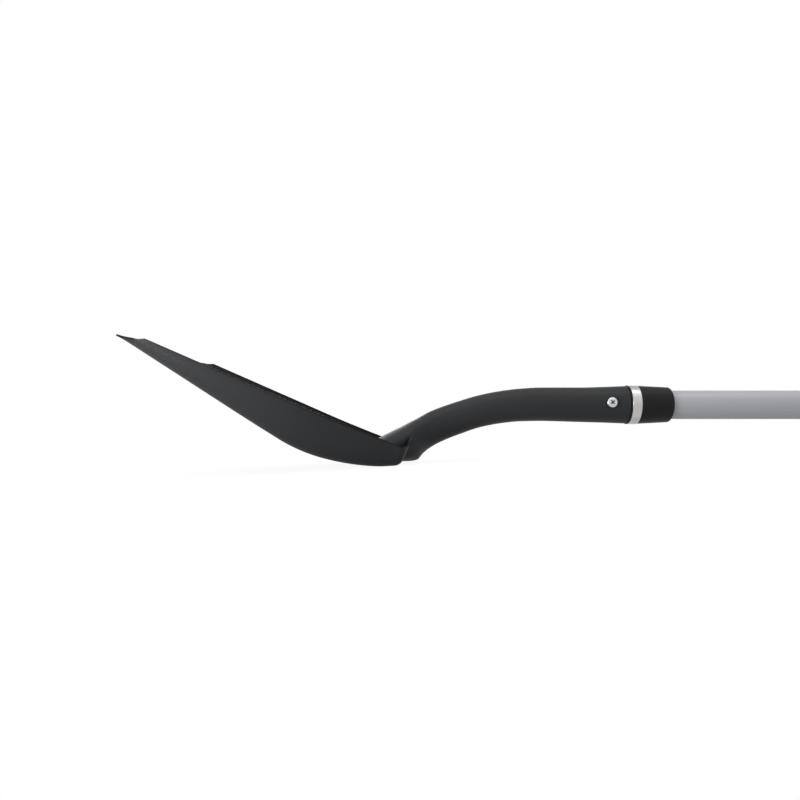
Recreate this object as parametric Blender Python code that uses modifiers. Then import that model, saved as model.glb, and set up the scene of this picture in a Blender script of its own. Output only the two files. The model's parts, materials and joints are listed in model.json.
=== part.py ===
"""Square shovel: pressed steel pan, swan-neck socket, collar, tube shaft and D-shaped grip.

Metres, +Z up. The shovel lies as it does on flat ground, on the heel of its pan and on its grip, with
+X from the leading edge to the grip. The origin is below the middle of its bounding box.

Every piece is drawn in the shaft's own frame. Its origin is the centre of the neck's mouth, +X runs up
the shaft and +Z is the open side of the pan. One empty carries the pieces and holds the lay, a small
turn about Y that brings the heel and the grip down onto the ground.
"""

import math
from typing import NamedTuple

import bmesh
import bpy
import numpy as np
from mathutils import Matrix, Vector

# Clearance that touching pieces keep
GAP = 0.0003

# Shaft
TUBE_RADIUS = 0.016
TUBE_WALL = 0.0016
TUBE_LENGTH = 0.692
TUBE_INSERT = 0.070
PLUG_LENGTH = 0.064

# Collar, ring and seal at the neck's mouth
SPIGOT_WALL = 0.0024
SPIGOT_LENGTH = 0.030
COLLAR_LENGTH = 0.0365
COLLAR_TAPER = 0.0017
COLLAR_NOSE = 0.0024
COLLAR_EDGE = 0.0009
NOSE_POWER = 1.4
COLLAR_LIP = 0.0003
SEAL_THICKNESS = 0.0010
SEAL_LIP = 0.0007
RING_WIDTH = 0.01015
RING_LIP = 0.0007
RING_CHAMFER = 0.0006

# Neck, from its mouth to the rear edge of the pan's floor, then its tongue on the floor
NECK_WALL = 0.002
NECK_LENGTH = 0.25845
HEEL_DROP = 0.0650
SEAT_MARGIN = 0.015
TONGUE_LENGTH = 0.0645
BEND_START = 0.43 * NECK_LENGTH
BEND_END = 0.80 * NECK_LENGTH

# Screws, the one at the neck and the one at the grip
SHANK_RADIUS = 0.0024
HEAD_RADIUS = 0.0055
HEAD_HEIGHT = 0.0026
SCREW_BITE = 0.009
RECESS_TURN = math.radians(40.0)
RECESS_WIDTH = 0.0011
RECESS_SPAN = 0.0052
RECESS_DEPTH = 0.0014
NECK_SCREW_INSET = 0.02125
NECK_SCREW_RAISE = math.radians(4.7)
GRIP_SCREW_INSET = 0.018
GRIP_SCREW_RAISE = 0.0

# Pan: the lengthwise line of its floor, from the heel's flat to the leading edge
SHEET = 0.0018
HEEL_FLAT = 0.0108
HEEL_TURN_RADIUS = 0.060
HEEL_TURN_END = math.radians(1.95)
FLOOR_REAR_RADIUS = 0.237
FLOOR_REAR_END = math.radians(15.95)
FLOOR_MID_RADIUS = 0.160
FLOOR_MID_END = math.radians(32.7)
FLOOR_EASE_LENGTH = 0.060
FLOOR_RISE = math.radians(33.75)
BLADE_LENGTH = 0.1177

# Pan: widths, walls and rim
LEADING_HALF = 0.1185
LEADING_CORNER = 0.005
FLOOR_REAR_HALF = 0.0665
WALL_ROOT_RADIUS = 0.014
WALL_FLARE = math.radians(15.0)
REAR_ROOT_RADIUS = 0.0108
REAR_LEAN = math.radians(25.1)
CORNER_POWER = 0.62
RAMP_LENGTH = 0.025
RAMP_POWER = 1.5
RIM_FRONT_HEIGHT = 0.0130
RIM_HEEL_HEIGHT = 0.0258
RIM_HEEL_LIFT = 0.0029
RIM_LIFT_REACH = 0.106

# Rear rim: places, 0 to 1 round the corner and 1 to 2 on to the middle of the back, with heights
REAR_RIM = (
    (0.09, 0.0202),
    (0.27, 0.0191),
    (0.47, 0.0185),
    (0.66, 0.0188),
    (0.82, 0.0189),
    (1.00, 0.0241),
    (1.20, 0.0277),
    (2.00, 0.0284),
)

# Grip
SOCKET_WALL = 0.004
SOCKET_LENGTH = 0.052
SOCKET_ROUND = 0.003
SOCKET_FLOOR = 0.006
LIMB_SQUARE = 2.6
HAND_DEPTH = 0.060
HAND_WIDTH = 0.100
ARM_WIDTH = 0.0105
ARM_DEPTH = 0.024
ARCH_WIDTH = 0.020
ARCH_DEPTH = 0.027
ARCH_BITE = 0.004
BAR_RADIUS = 0.0115
SLEEVE_WALL = 0.0055
SLEEVE_CROWN = 0.0008
SLEEVE_EDGE = 0.0015
BOSS_RADIUS = 0.0165
BOSS_WIDTH = 0.0145
BOSS_ROUND = 0.003
BOSS_PROUD = 0.0008

# Facets round a turned piece and round a loft
TURN_STEPS = 48
RING_SIDES = 32

# Sizes and places that follow from the ones above
SPIGOT_RADIUS = TUBE_RADIUS + GAP + SPIGOT_WALL
MOUTH_RADIUS = SPIGOT_RADIUS + GAP + NECK_WALL
WAIST_RADIUS = TUBE_RADIUS + GAP + NECK_WALL
SOCKET_BORE = TUBE_RADIUS + GAP
SOCKET_RADIUS = SOCKET_BORE + SOCKET_WALL
SLEEVE_RADIUS = BAR_RADIUS + GAP + SLEEVE_WALL
TUBE_TOP = TUBE_LENGTH - TUBE_INSERT
SOCKET_TOP = TUBE_TOP + GAP + SOCKET_FLOOR
BAR_X = SOCKET_TOP + HAND_DEPTH + SLEEVE_RADIUS
WALL_OUT = WALL_ROOT_RADIUS * math.cos(WALL_FLARE)
FLOOR_FRONT_HALF = LEADING_HALF - WALL_OUT


def lay_angle():
    """Turn about Y that puts the heel's rear edge and the grip's sleeve on one level."""
    reach = math.hypot(BAR_X + NECK_LENGTH, HEEL_DROP)
    return math.atan2(HEEL_DROP, BAR_X + NECK_LENGTH) - math.asin(SLEEVE_RADIUS / reach)


LAY = lay_angle()


class Station(NamedTuple):
    """One cross section of the neck.

    at: share of the neck's length from the mouth. waist: how far its radius has closed in on the tube.
    heel: 0 where the section is measured from the shaft's axis, 1 where it is measured from the heel.
    crown, sole, flank: what its top, bottom and half width add to that, as shares of the heel's drop.
    belly: height share of its widest line. square: exponent of its superellipse, 2 for a circle.
    """

    at: float
    waist: float
    heel: float
    crown: float
    sole: float
    flank: float
    belly: float
    square: float


NECK_STATIONS = (
    Station(0.000, 0.00, 0.00, 0.000, 0.000, 0.000, 0.50, 2.00),
    Station(0.110, 0.39, 0.00, 0.000, 0.000, 0.000, 0.50, 2.00),
    Station(0.195, 0.60, 0.00, 0.000, 0.000, 0.000, 0.50, 2.00),
    Station(0.285, 0.78, 0.00, 0.008, 0.004, 0.000, 0.50, 2.00),
    Station(0.369, 0.92, 0.00, 0.013, 0.006, 0.000, 0.50, 2.02),
    Station(0.459, 1.00, 0.00, -0.003, -0.005, 0.000, 0.50, 2.05),
    Station(0.543, 1.00, 0.15, 0.148, 0.069, 0.031, 0.50, 2.10),
    Station(0.630, 1.00, 0.40, 0.402, 0.181, 0.102, 0.50, 2.15),
    Station(0.717, 1.00, 0.65, 0.622, 0.245, 0.175, 0.50, 2.20),
    Station(0.803, 1.00, 0.85, 0.763, 0.250, 0.251, 0.48, 2.30),
    Station(0.853, 1.00, 1.00, 0.874, 0.245, 0.338, 0.42, 2.45),
    Station(0.880, 1.00, 1.00, 0.815, 0.156, 0.415, 0.38, 2.60),
    Station(0.902, 1.00, 1.00, 0.766, 0.058, 0.508, 0.35, 2.70),
    Station(0.931, 1.00, 1.00, 0.708, 0.037, 0.631, 0.31, 2.80),
    Station(0.961, 1.00, 1.00, 0.642, 0.034, 0.731, 0.28, 2.80),
    Station(1.000, 1.00, 1.00, 0.568, 0.031, 0.812, 0.25, 2.70),
)


class TongueStation(NamedTuple):
    """One cross section of the neck's tongue, which runs forward on the pan's floor.

    at: share of the tongue's length from the heel. height: top over the floor's underside. Both it and
    the flank are shares of the heel's drop.
    """

    at: float
    height: float
    flank: float
    belly: float
    square: float


TONGUE_STATIONS = (
    TongueStation(0.00, 0.568, 0.812, 0.25, 2.70),
    TongueStation(0.20, 0.480, 0.862, 0.22, 2.60),
    TongueStation(0.40, 0.377, 0.877, 0.20, 2.50),
    TongueStation(0.60, 0.265, 0.808, 0.20, 2.40),
    TongueStation(0.80, 0.166, 0.654, 0.20, 2.30),
    TongueStation(0.94, 0.102, 0.446, 0.20, 2.20),
    TongueStation(1.00, 0.077, 0.292, 0.20, 2.20),
)


def smooth_through(xs, ys, x):
    """Value at x of a smooth curve through the points that never swings past them.

    Each point's slope is the harmonic mean of its neighbours' slopes, and cubic pieces join them.
    """
    step = np.diff(xs)
    rise = np.diff(ys) / step
    before, after = rise[:-1], rise[1:]
    same_way = before * after > 0
    total = np.where(same_way, before + after, 1.0)
    inner = np.where(same_way, 2 * before * after / total, 0.0)
    slopes = np.concatenate(([rise[0]], inner, [rise[-1]]))
    i = min(max(int(np.searchsorted(xs, x)) - 1, 0), len(xs) - 2)
    t = (x - xs[i]) / step[i]
    lift = ys[i] * (1 + 2 * t) * (1 - t) ** 2 + ys[i + 1] * t * t * (3 - 2 * t)
    lean = slopes[i] * t * (1 - t) ** 2 + slopes[i + 1] * t * t * (t - 1)
    return lift + step[i] * lean


def signed_power(value, power):
    """The value's size to a power, with its own sign."""
    return math.copysign(abs(value) ** power, value)


# Floor line of the pan: distance forward of the heel's rear edge, and the turn that each stretch makes
FLOOR_STRETCHES = (
    (HEEL_FLAT, -LAY, -LAY),
    (HEEL_TURN_RADIUS * (HEEL_TURN_END + LAY), -LAY, HEEL_TURN_END),
    (FLOOR_REAR_RADIUS * (FLOOR_REAR_END - HEEL_TURN_END), HEEL_TURN_END, FLOOR_REAR_END),
    (FLOOR_MID_RADIUS * (FLOOR_MID_END - FLOOR_REAR_END), FLOOR_REAR_END, FLOOR_MID_END),
    (FLOOR_EASE_LENGTH, FLOOR_MID_END, FLOOR_RISE),
    (BLADE_LENGTH, FLOOR_RISE, FLOOR_RISE),
)
PAN_LENGTH = sum(stretch[0] for stretch in FLOOR_STRETCHES)


def floor_line(forward):
    """Point (x, z) on the underside of the pan's floor, and the rise angle there."""
    x, z = -NECK_LENGTH, -HEEL_DROP
    angle = -LAY
    if forward <= 0:
        return x - forward * math.cos(angle), z + forward * math.sin(angle), angle
    left = forward
    for length, start, end in FLOOR_STRETCHES:
        part = min(left, length)
        angle = start + (end - start) * part / length
        if abs(end - start) < 1e-9:
            x -= part * math.cos(angle)
            z += part * math.sin(angle)
        else:
            radius = length / (end - start)
            x -= radius * (math.sin(angle) - math.sin(start))
            z += radius * (math.cos(start) - math.cos(angle))
        left -= part
        if left <= 0:
            break
    return x - left * math.cos(angle), z + left * math.sin(angle), angle


def over_floor(forward, height):
    """Point (x, z) at a height over the floor's underside, square to it."""
    x, z, angle = floor_line(forward)
    return x + height * math.sin(angle), z + height * math.cos(angle)


def floor_level(x, height):
    """Height z of the surface that lies at a distance over the floor's underside, at a given x."""
    forwards = np.linspace(-0.03, PAN_LENGTH, 400)
    points = np.array([over_floor(forward, height) for forward in forwards])
    return float(np.interp(-x, -points[:, 0], points[:, 1]))


def rim_height(forward):
    """Height of the side wall's rim over the floor: a ramp, a line straight from the side, and a lift.

    The lift is a parabola that raises the rim a little towards the heel.
    """
    ramp_end = PAN_LENGTH - RAMP_LENGTH
    if forward >= ramp_end:
        return RIM_FRONT_HEIGHT * ((PAN_LENGTH - forward) / RAMP_LENGTH) ** RAMP_POWER
    front_x, front_z = over_floor(ramp_end, RIM_FRONT_HEIGHT)
    heel_x, heel_z = over_floor(HEEL_FLAT, RIM_HEEL_HEIGHT)
    slope = (front_z - heel_z) / (front_x - heel_x)
    x, z, angle = floor_line(forward)
    line = (heel_z + slope * (x - heel_x) - z) / (math.cos(angle) - slope * math.sin(angle))
    return line + RIM_HEEL_LIFT * max(1.0 - forward / RIM_LIFT_REACH, 0.0) ** 2


def floor_half(forward):
    """Half width of the flat floor: it tapers from the leading edge to the heel."""
    return FLOOR_REAR_HALF + (FLOOR_FRONT_HALF - FLOOR_REAR_HALF) * forward / PAN_LENGTH


def wall_profile(height, radius, lean, count):
    """Points (out, up) of a wall, evenly along it: an arc off the floor, then straight up to the rim.

    A wall lower than its arc keeps the arc's reach and opens its radius, so the sheet stays as wide.
    """
    reach = radius * math.cos(lean)
    knee = radius * (1 - math.sin(lean))
    if height <= knee:
        if height < 1e-7:
            return [(reach * i / count, 0.0) for i in range(count + 1)]
        wide = (reach**2 + height**2) / (2 * height)
        sweep = 2 * math.atan2(height, reach)
        turns = [sweep * i / count for i in range(count + 1)]
        return [(wide * math.sin(turn), wide * (1 - math.cos(turn))) for turn in turns]
    sweep = math.pi / 2 - lean
    arc = radius * sweep
    straight = (height - knee) / math.cos(lean)
    points = []
    for i in range(count + 1):
        along = (arc + straight) * i / count
        turn = min(along, arc) / radius
        extra = max(along - arc, 0.0)
        out = radius * math.sin(turn) + extra * math.sin(lean)
        points.append((out, radius * (1 - math.cos(turn)) + extra * math.cos(lean)))
    return points


def material(name, colour, roughness, metallic):
    """Principled material with one colour, roughness and metallic value."""
    made = bpy.data.materials.new(name)
    made.use_nodes = True
    shader = made.node_tree.nodes["Principled BSDF"]
    shader.inputs["Base Color"].default_value = (*colour, 1.0)
    shader.inputs["Roughness"].default_value = roughness
    shader.inputs["Metallic"].default_value = metallic
    return made


def mesh_object(name, mesh, finish, collection):
    """Object for a mesh, with its material, in a collection."""
    made = bpy.data.objects.new(name, mesh)
    if finish is not None:
        mesh.materials.append(finish)
    collection.objects.link(made)
    return made


def smooth(mesh, degrees=40.0):
    """Smooth shading, with edges over an angle kept sharp."""
    mesh.shade_smooth()
    mesh.set_sharp_from_angle(angle=math.radians(degrees))


def hide_cutter(cutter):
    """Marks an object as a cutter, which isn't a piece."""
    cutter.hide_render = True
    cutter.display_type = "WIRE"


def cut(piece, cutter, operation="DIFFERENCE"):
    """Adds a Boolean to a piece."""
    boolean = piece.modifiers.new(cutter.name, "BOOLEAN")
    boolean.operation = operation
    boolean.solver = "EXACT"
    boolean.object = cutter


def mesh_from(name, points, faces):
    """Mesh from points and faces, its doubles merged and its normals pointing out."""
    mesh = bpy.data.meshes.new(name)
    mesh.from_pydata(points, [], faces)
    shape = bmesh.new()
    shape.from_mesh(mesh)
    bmesh.ops.remove_doubles(shape, verts=shape.verts, dist=1e-6)
    bmesh.ops.recalc_face_normals(shape, faces=shape.faces)
    shape.to_mesh(mesh)
    shape.free()
    return mesh


def loft(name, rings):
    """Closed mesh through rings of equal count, with a flat cap at each end."""
    sides = len(rings[0])
    points = [point for ring in rings for point in ring]
    faces = []
    for i in range(len(rings) - 1):
        for j in range(sides):
            k = (j + 1) % sides
            faces.append((i * sides + j, i * sides + k, (i + 1) * sides + k, (i + 1) * sides + j))
    last = (len(rings) - 1) * sides
    faces.append(tuple(range(sides)))
    faces.append(tuple(range(last + sides - 1, last - 1, -1)))
    return mesh_from(name, points, faces)


def oval(half_width, top, bottom, belly, square):
    """Points (y, z) of a superellipse whose widest line lies at a share of its height."""
    middle = bottom + belly * (top - bottom)
    power = 2 / square
    points = []
    for i in range(RING_SIDES):
        turn = 2 * math.pi * (i + 0.5) / RING_SIDES
        reach = top - middle if math.sin(turn) > 0 else middle - bottom
        y = half_width * signed_power(math.cos(turn), power)
        points.append((y, middle + reach * signed_power(math.sin(turn), power)))
    return points


def turned(name, outline, finish, collection, steps=TURN_STEPS, phase=0.0):
    """Turned piece about its own Z axis, from a closed outline of (radius, height) points.

    The outline runs down its outer side, top to bottom. Points on the axis close it there. phase is
    the turn of its first facet, which keeps a cutter's edges off the edges of what it cuts.
    """
    mesh = bpy.data.meshes.new(name)
    edges = [(i, i + 1) for i in range(len(outline) - 1)]
    if outline[0][0] > 0:
        edges.append((len(outline) - 1, 0))
    right, ahead = math.cos(phase), math.sin(phase)
    points = [(radius * right, radius * ahead, height) for radius, height in outline]
    mesh.from_pydata(points, edges, [])
    made = mesh_object(name, mesh, finish, collection)
    screw = made.modifiers.new("turn", "SCREW")
    screw.steps = steps
    screw.render_steps = steps
    screw.use_merge_vertices = True
    screw.merge_threshold = 0.00001
    return made


def along_shaft(piece, x):
    """Lays a turned piece's axis along the shaft, its foot at x."""
    piece.rotation_euler = (0.0, math.pi / 2, 0.0)
    piece.location = (x, 0.0, 0.0)


def station_values(station):
    """Top, bottom, half width, belly and squareness of the neck's outside at one station."""
    radius = (MOUTH_RADIUS + (WAIST_RADIUS - MOUTH_RADIUS) * station.waist) * (1 - station.heel)
    top = radius + HEEL_DROP * (station.crown - station.heel)
    bottom = HEEL_DROP * (station.sole - station.heel) - radius
    return top, bottom, radius + HEEL_DROP * station.flank, station.belly, station.square


def neck_values(x):
    """The same values at any x of the neck."""
    shares = [station.at for station in NECK_STATIONS]
    columns = zip(*(station_values(station) for station in NECK_STATIONS))
    return tuple(smooth_through(shares, column, -x / NECK_LENGTH) for column in columns)


def tongue_values(x):
    """The same values for the tongue, whose bottom is the underside of the pan's floor."""
    at = (-x - NECK_LENGTH) / TONGUE_LENGTH
    shares = [station.at for station in TONGUE_STATIONS]
    columns = list(zip(*TONGUE_STATIONS))[1:]
    height, flank, belly, square = (smooth_through(shares, column, at) for column in columns)
    floor = floor_level(x, 0.0)
    return floor + HEEL_DROP * height, floor, HEEL_DROP * flank, belly, square


def neck_ring(x, inset=0.0):
    """One ring of the neck in the plane at x, drawn in by the inset on every side."""
    values = neck_values(x) if x >= -NECK_LENGTH else tongue_values(x)
    top, bottom, half, belly, square = values
    floor = bottom + inset
    if inset > 0 and x < -NECK_LENGTH + 2 * NECK_WALL:
        floor = floor_level(x, SHEET + GAP + inset)
    section = oval(half - inset, top - inset, floor, belly, square)
    return [(x, y, z) for y, z in section]


def spigot_radius(x):
    """Outside radius of the collar's spigot at x: it tapers with the neck's bore."""
    top, bottom, half, _, _ = neck_values(x)
    return min(top, -bottom, half) - NECK_WALL - GAP


def spread(start, end, count):
    """Evenly spaced numbers from start to end."""
    return [start + (end - start) * i / count for i in range(count + 1)]


def build_neck(finish, parts, cutters, screw_bore):
    """Neck: a lofted tube that swings down to the heel and ends in a tongue on the pan's floor.

    Its outside is one loft. A second loft inside it, open at the mouth, leaves the wall, and a block
    in the shape of the pan's floor cuts the tongue so that it sits on the sheet.
    """
    places = spread(0.0, -BEND_START, 5) + spread(-BEND_START, -BEND_END, 6)[1:]
    places += spread(-BEND_END, -NECK_LENGTH, 9)[1:]
    places += spread(-NECK_LENGTH, -NECK_LENGTH - TONGUE_LENGTH, 8)[1:]
    neck = mesh_object("neck", loft("neck", [neck_ring(x) for x in places]), finish, parts)

    hollow_end = -NECK_LENGTH - 0.5 * TONGUE_LENGTH
    inside = [x for x in places if x > hollow_end]
    rings = [neck_ring(x, NECK_WALL) for x in inside]
    mouth = [(NECK_WALL, y, z) for _, y, z in rings[0]]
    hollow = mesh_object("neck_hollow", loft("neck_hollow", [mouth] + rings), None, cutters)

    seat = mesh_object("tongue_seat", tongue_seat_mesh(), None, cutters)
    for cutter in (hollow, seat, screw_bore):
        cut(neck, cutter)
        hide_cutter(cutter)
    smooth(neck.data)
    return neck


def tongue_seat_mesh():
    """Block under the tongue: the pan's floor with its clearance, down to well below it."""
    reach = TONGUE_LENGTH + SEAT_MARGIN
    forwards = spread(-GAP, HEEL_FLAT, 1) + spread(HEEL_FLAT, reach, 10)[1:]
    upper = [over_floor(forward, SHEET + GAP) for forward in forwards]
    rear_x = -NECK_LENGTH + GAP
    base = -HEEL_DROP - SEAT_MARGIN
    outline = [(rear_x, base), (rear_x, upper[0][1])] + upper[1:] + [(upper[-1][0], base)]
    half = LEADING_HALF
    near = [(x, -half, z) for x, z in outline]
    far = [(x, half, z) for x, z in outline]
    count = len(outline)
    faces = [tuple(range(count)), tuple(range(2 * count - 1, count - 1, -1))]
    faces += [(i, (i + 1) % count, count + (i + 1) % count, count + i) for i in range(count)]
    return mesh_from("tongue_seat", near + far, faces)


def pan_half_rows():
    """Rows of points for the near half of the pan's underside, from the leading edge to the back.

    A row runs from the middle of the floor to its edge, then up the wall to the rim. Rows along the
    side come first. Then the rear corner fans from the floor's corner, and the back wall follows.
    """
    floor_steps, wall_steps, corner_steps = 4, 8, 9
    forwards = side_stations()
    rows = []
    for forward in forwards:
        height = rim_height(forward)
        half = floor_half(forward)
        inset = leading_inset(PAN_LENGTH - forward)
        profile = wall_profile(height, WALL_ROOT_RADIUS, WALL_FLARE, wall_steps)
        shrink = (half + profile[-1][0] - inset) / (half + profile[-1][0])
        row = [(forward, half * shrink * i / floor_steps, 0.0) for i in range(floor_steps)]
        row += [(forward, (half + out) * shrink, up) for out, up in profile]
        rows.append(row)

    half = floor_half(0.0)
    heel_height = rim_height(0.0)
    corner = []
    for i in range(1, corner_steps + 1):
        turn = math.pi / 2 * i / corner_steps
        height = rear_rim_height(i / corner_steps, heel_height)
        side = wall_profile(height, WALL_ROOT_RADIUS, WALL_FLARE, wall_steps)
        back = wall_profile(height, REAR_ROOT_RADIUS, REAR_LEAN, wall_steps)
        share = math.sin(turn) ** 2
        row = []
        for (side_out, side_up), (back_out, back_up) in zip(side, back):
            forward = -back_out * math.sin(turn) ** CORNER_POWER
            y = half + side_out * math.cos(turn) ** CORNER_POWER if i < corner_steps else half
            row.append((forward, y, side_up + (back_up - side_up) * share))
        corner.append(row)

    back = []
    for i in range(1, floor_steps + 1):
        y = half * (1 - i / floor_steps)
        height = rear_rim_height(1 + i / floor_steps, heel_height)
        profile = wall_profile(height, REAR_ROOT_RADIUS, REAR_LEAN, wall_steps)
        back.append([(-out, y, up) for out, up in profile])
    return rows, corner, back, floor_steps


def side_stations():
    """Distances forward of the heel for the side rows, closer where the pan bends or its rim starts."""
    ends = [0.0]
    for stretch in FLOOR_STRETCHES:
        ends.append(ends[-1] + stretch[0])
    ramp_end = PAN_LENGTH - RAMP_LENGTH
    stations = [0.0, ends[1], ends[2]]
    stations += spread(ends[2], ends[3], 4)[1:] + spread(ends[3], ends[4], 4)[1:]
    stations += spread(ends[4], ramp_end, 4)[1:] + spread(ramp_end, PAN_LENGTH, 5)[1:-1]
    corner = LEADING_CORNER
    stations += [PAN_LENGTH - corner * share for share in (0.7, 0.35, 0.12, 0.0)]
    return sorted(set(stations), reverse=True)


def leading_inset(back):
    """How far the corner's round draws the edge in, at a distance behind the leading edge."""
    if back >= LEADING_CORNER:
        return 0.0
    return LEADING_CORNER - math.sqrt(LEADING_CORNER**2 - (LEADING_CORNER - back) ** 2)


def rear_rim_height(along, start):
    """Height of the rear rim: it dips in the corner, then climbs to the neck.

    along is 0 to 1 round the corner and 1 to 2 from there to the middle of the back.
    """
    places, heights = zip((0.0, start), *REAR_RIM)
    return smooth_through(places, heights, along)


def build_pan(finish, parts, cutters):
    """Pan: one pressed sheet, drawn as its underside, mirrored, given its thickness, then notched."""
    rows, corner, back, floor_steps = pan_half_rows()
    points = []
    faces = []

    def place(row):
        """Adds a row of (forward, y, up) points and gives their numbers."""
        start = len(points)
        for forward, y, up in row:
            x, z = over_floor(forward, up)
            points.append((x, -y, z))
        return list(range(start, len(points)))

    def weave(first, second):
        """Quads between two rows of numbers."""
        for i in range(len(first) - 1):
            faces.append((first[i], first[i + 1], second[i + 1], second[i]))

    placed = [place(row) for row in rows]
    for first, second in zip(placed, placed[1:]):
        weave(first, second)
    wall = placed[-1][floor_steps:]
    for row in corner + back:
        numbers = place(row)
        weave(wall, numbers)
        wall = numbers
    mesh = mesh_from("pan", points, faces)
    face_down(mesh)
    pan = mesh_object("pan", mesh, finish, parts)

    mirror = pan.modifiers.new("both_halves", "MIRROR")
    mirror.use_axis = (False, True, False)
    mirror.merge_threshold = 0.00001
    sheet = pan.modifiers.new("sheet", "SOLIDIFY")
    sheet.thickness = SHEET
    sheet.offset = -1.0
    notch_places = spread(-BEND_END, -NECK_LENGTH + GAP / 3, 9)
    notch = mesh_object(
        "rear_notch", loft("rear_notch", [neck_ring(x, -GAP) for x in notch_places]), None, cutters
    )
    hide_cutter(notch)
    cut(pan, notch)
    smooth(pan.data)
    return pan


def face_down(mesh):
    """Turns the underside's normals down, so that the thickness goes up into the pan."""
    shape = bmesh.new()
    shape.from_mesh(mesh)
    shape.normal_update()
    down = sum(face.normal.z * face.calc_area() for face in shape.faces)
    if down > 0:
        bmesh.ops.reverse_faces(shape, faces=shape.faces)
    shape.to_mesh(mesh)
    shape.free()


def build_mouth(finishes, parts, screw_bore):
    """Seal, ring and collar, in that order up the shaft from the neck's mouth."""
    seal_top = GAP + SEAL_THICKNESS
    seal_radius = MOUTH_RADIUS + SEAL_LIP
    bore = SPIGOT_RADIUS + GAP
    round_edge = SEAL_THICKNESS / 3
    seal = turned(
        "mouth_seal",
        [
            (bore, SEAL_THICKNESS),
            (seal_radius - round_edge, SEAL_THICKNESS),
            (seal_radius, SEAL_THICKNESS - round_edge),
            (seal_radius, round_edge),
            (seal_radius - round_edge, 0.0),
            (bore, 0.0),
        ],
        finishes["seal"],
        parts,
    )
    along_shaft(seal, GAP)

    ring_radius = MOUTH_RADIUS + RING_LIP
    ring = turned(
        "ferrule_ring",
        [
            (bore, RING_WIDTH),
            (ring_radius - RING_CHAMFER, RING_WIDTH),
            (ring_radius, RING_WIDTH - RING_CHAMFER),
            (ring_radius, RING_CHAMFER),
            (ring_radius - RING_CHAMFER, 0.0),
            (bore, 0.0),
        ],
        finishes["ring"],
        parts,
    )
    along_shaft(ring, seal_top + GAP)

    foot = seal_top + 2 * GAP + RING_WIDTH
    inner = TUBE_RADIUS + GAP
    shoulder = MOUTH_RADIUS + COLLAR_LIP
    nose_radius = shoulder - COLLAR_TAPER
    drop = nose_radius - inner - COLLAR_EDGE
    outline = [(inner, COLLAR_LENGTH)]
    for i in range(7):
        turn = math.pi / 2 * (1 - i / 6)
        radius = nose_radius - drop * (1 - math.cos(turn) ** NOSE_POWER)
        outline.append((radius, COLLAR_LENGTH - COLLAR_NOSE * (1 - math.sin(turn) ** NOSE_POWER)))
    outline += [(shoulder, 0.0), (SPIGOT_RADIUS, 0.0)]
    outline += [(spigot_radius(x), x - foot) for x in spread(0.0, -SPIGOT_LENGTH, 4)]
    outline.append((inner, -foot - SPIGOT_LENGTH))
    collar = turned("collar", outline, finishes["collar"], parts)
    along_shaft(collar, foot)
    cut(collar, screw_bore)
    return seal, ring, collar


def build_shaft(finishes, parts, bores):
    """Tube, and the wood plug in its lower end that the neck's screw bites into."""
    tube = turned(
        "shaft_tube",
        [
            (TUBE_RADIUS - TUBE_WALL, TUBE_LENGTH),
            (TUBE_RADIUS, TUBE_LENGTH),
            (TUBE_RADIUS, 0.0),
            (TUBE_RADIUS - TUBE_WALL, 0.0),
        ],
        finishes["tube"],
        parts,
    )
    along_shaft(tube, -TUBE_INSERT)
    for bore in bores:
        cut(tube, bore)
    plug_radius = TUBE_RADIUS - TUBE_WALL - GAP
    edge = 0.001
    plug = turned(
        "shaft_plug",
        [
            (0.0, PLUG_LENGTH),
            (plug_radius - edge, PLUG_LENGTH),
            (plug_radius, PLUG_LENGTH - edge),
            (plug_radius, edge),
            (plug_radius - edge, 0.0),
            (0.0, 0.0),
        ],
        finishes["wood"],
        parts,
    )
    along_shaft(plug, -TUBE_INSERT + edge)
    cut(plug, bores[0])
    return tube, plug


def screw_length(seat_radius):
    """Length of a screw's shank: from its seat, through the tube's wall and on by its bite."""
    return seat_radius + GAP - TUBE_RADIUS + TUBE_WALL + SCREW_BITE


def point_sideways(piece, x, seat_radius, raised):
    """Turns an upright piece so that its top points to the near side, its origin just off a seat.

    raised is how far round the shaft it sits above the level side, in radians.
    """
    piece.rotation_euler = (math.pi / 2 - raised, 0.0, 0.0)
    out = seat_radius + GAP
    piece.location = (x, -out * math.cos(raised), out * math.sin(raised))


def build_bore(name, x, seat_radius, raised, cutters):
    """Cutter for a screw's hole: the shank with its clearance, from outside to past its point."""
    depth = screw_length(seat_radius) + 2 * GAP
    outside = 0.004
    bpy.ops.mesh.primitive_cylinder_add(
        vertices=16, radius=SHANK_RADIUS + GAP, depth=depth + outside, location=(0.0, 0.0, 0.0)
    )
    bore = bpy.context.object
    bore.name = name
    bore.data.transform(Matrix.Translation((0.0, 0.0, (outside - depth) / 2)))
    move_to(bore, cutters)
    hide_cutter(bore)
    point_sideways(bore, x, seat_radius, raised)
    return bore


def move_to(piece, collection):
    """Moves an object made by an operator into its collection."""
    for owner in list(piece.users_collection):
        owner.objects.unlink(piece)
    collection.objects.link(piece)


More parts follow.
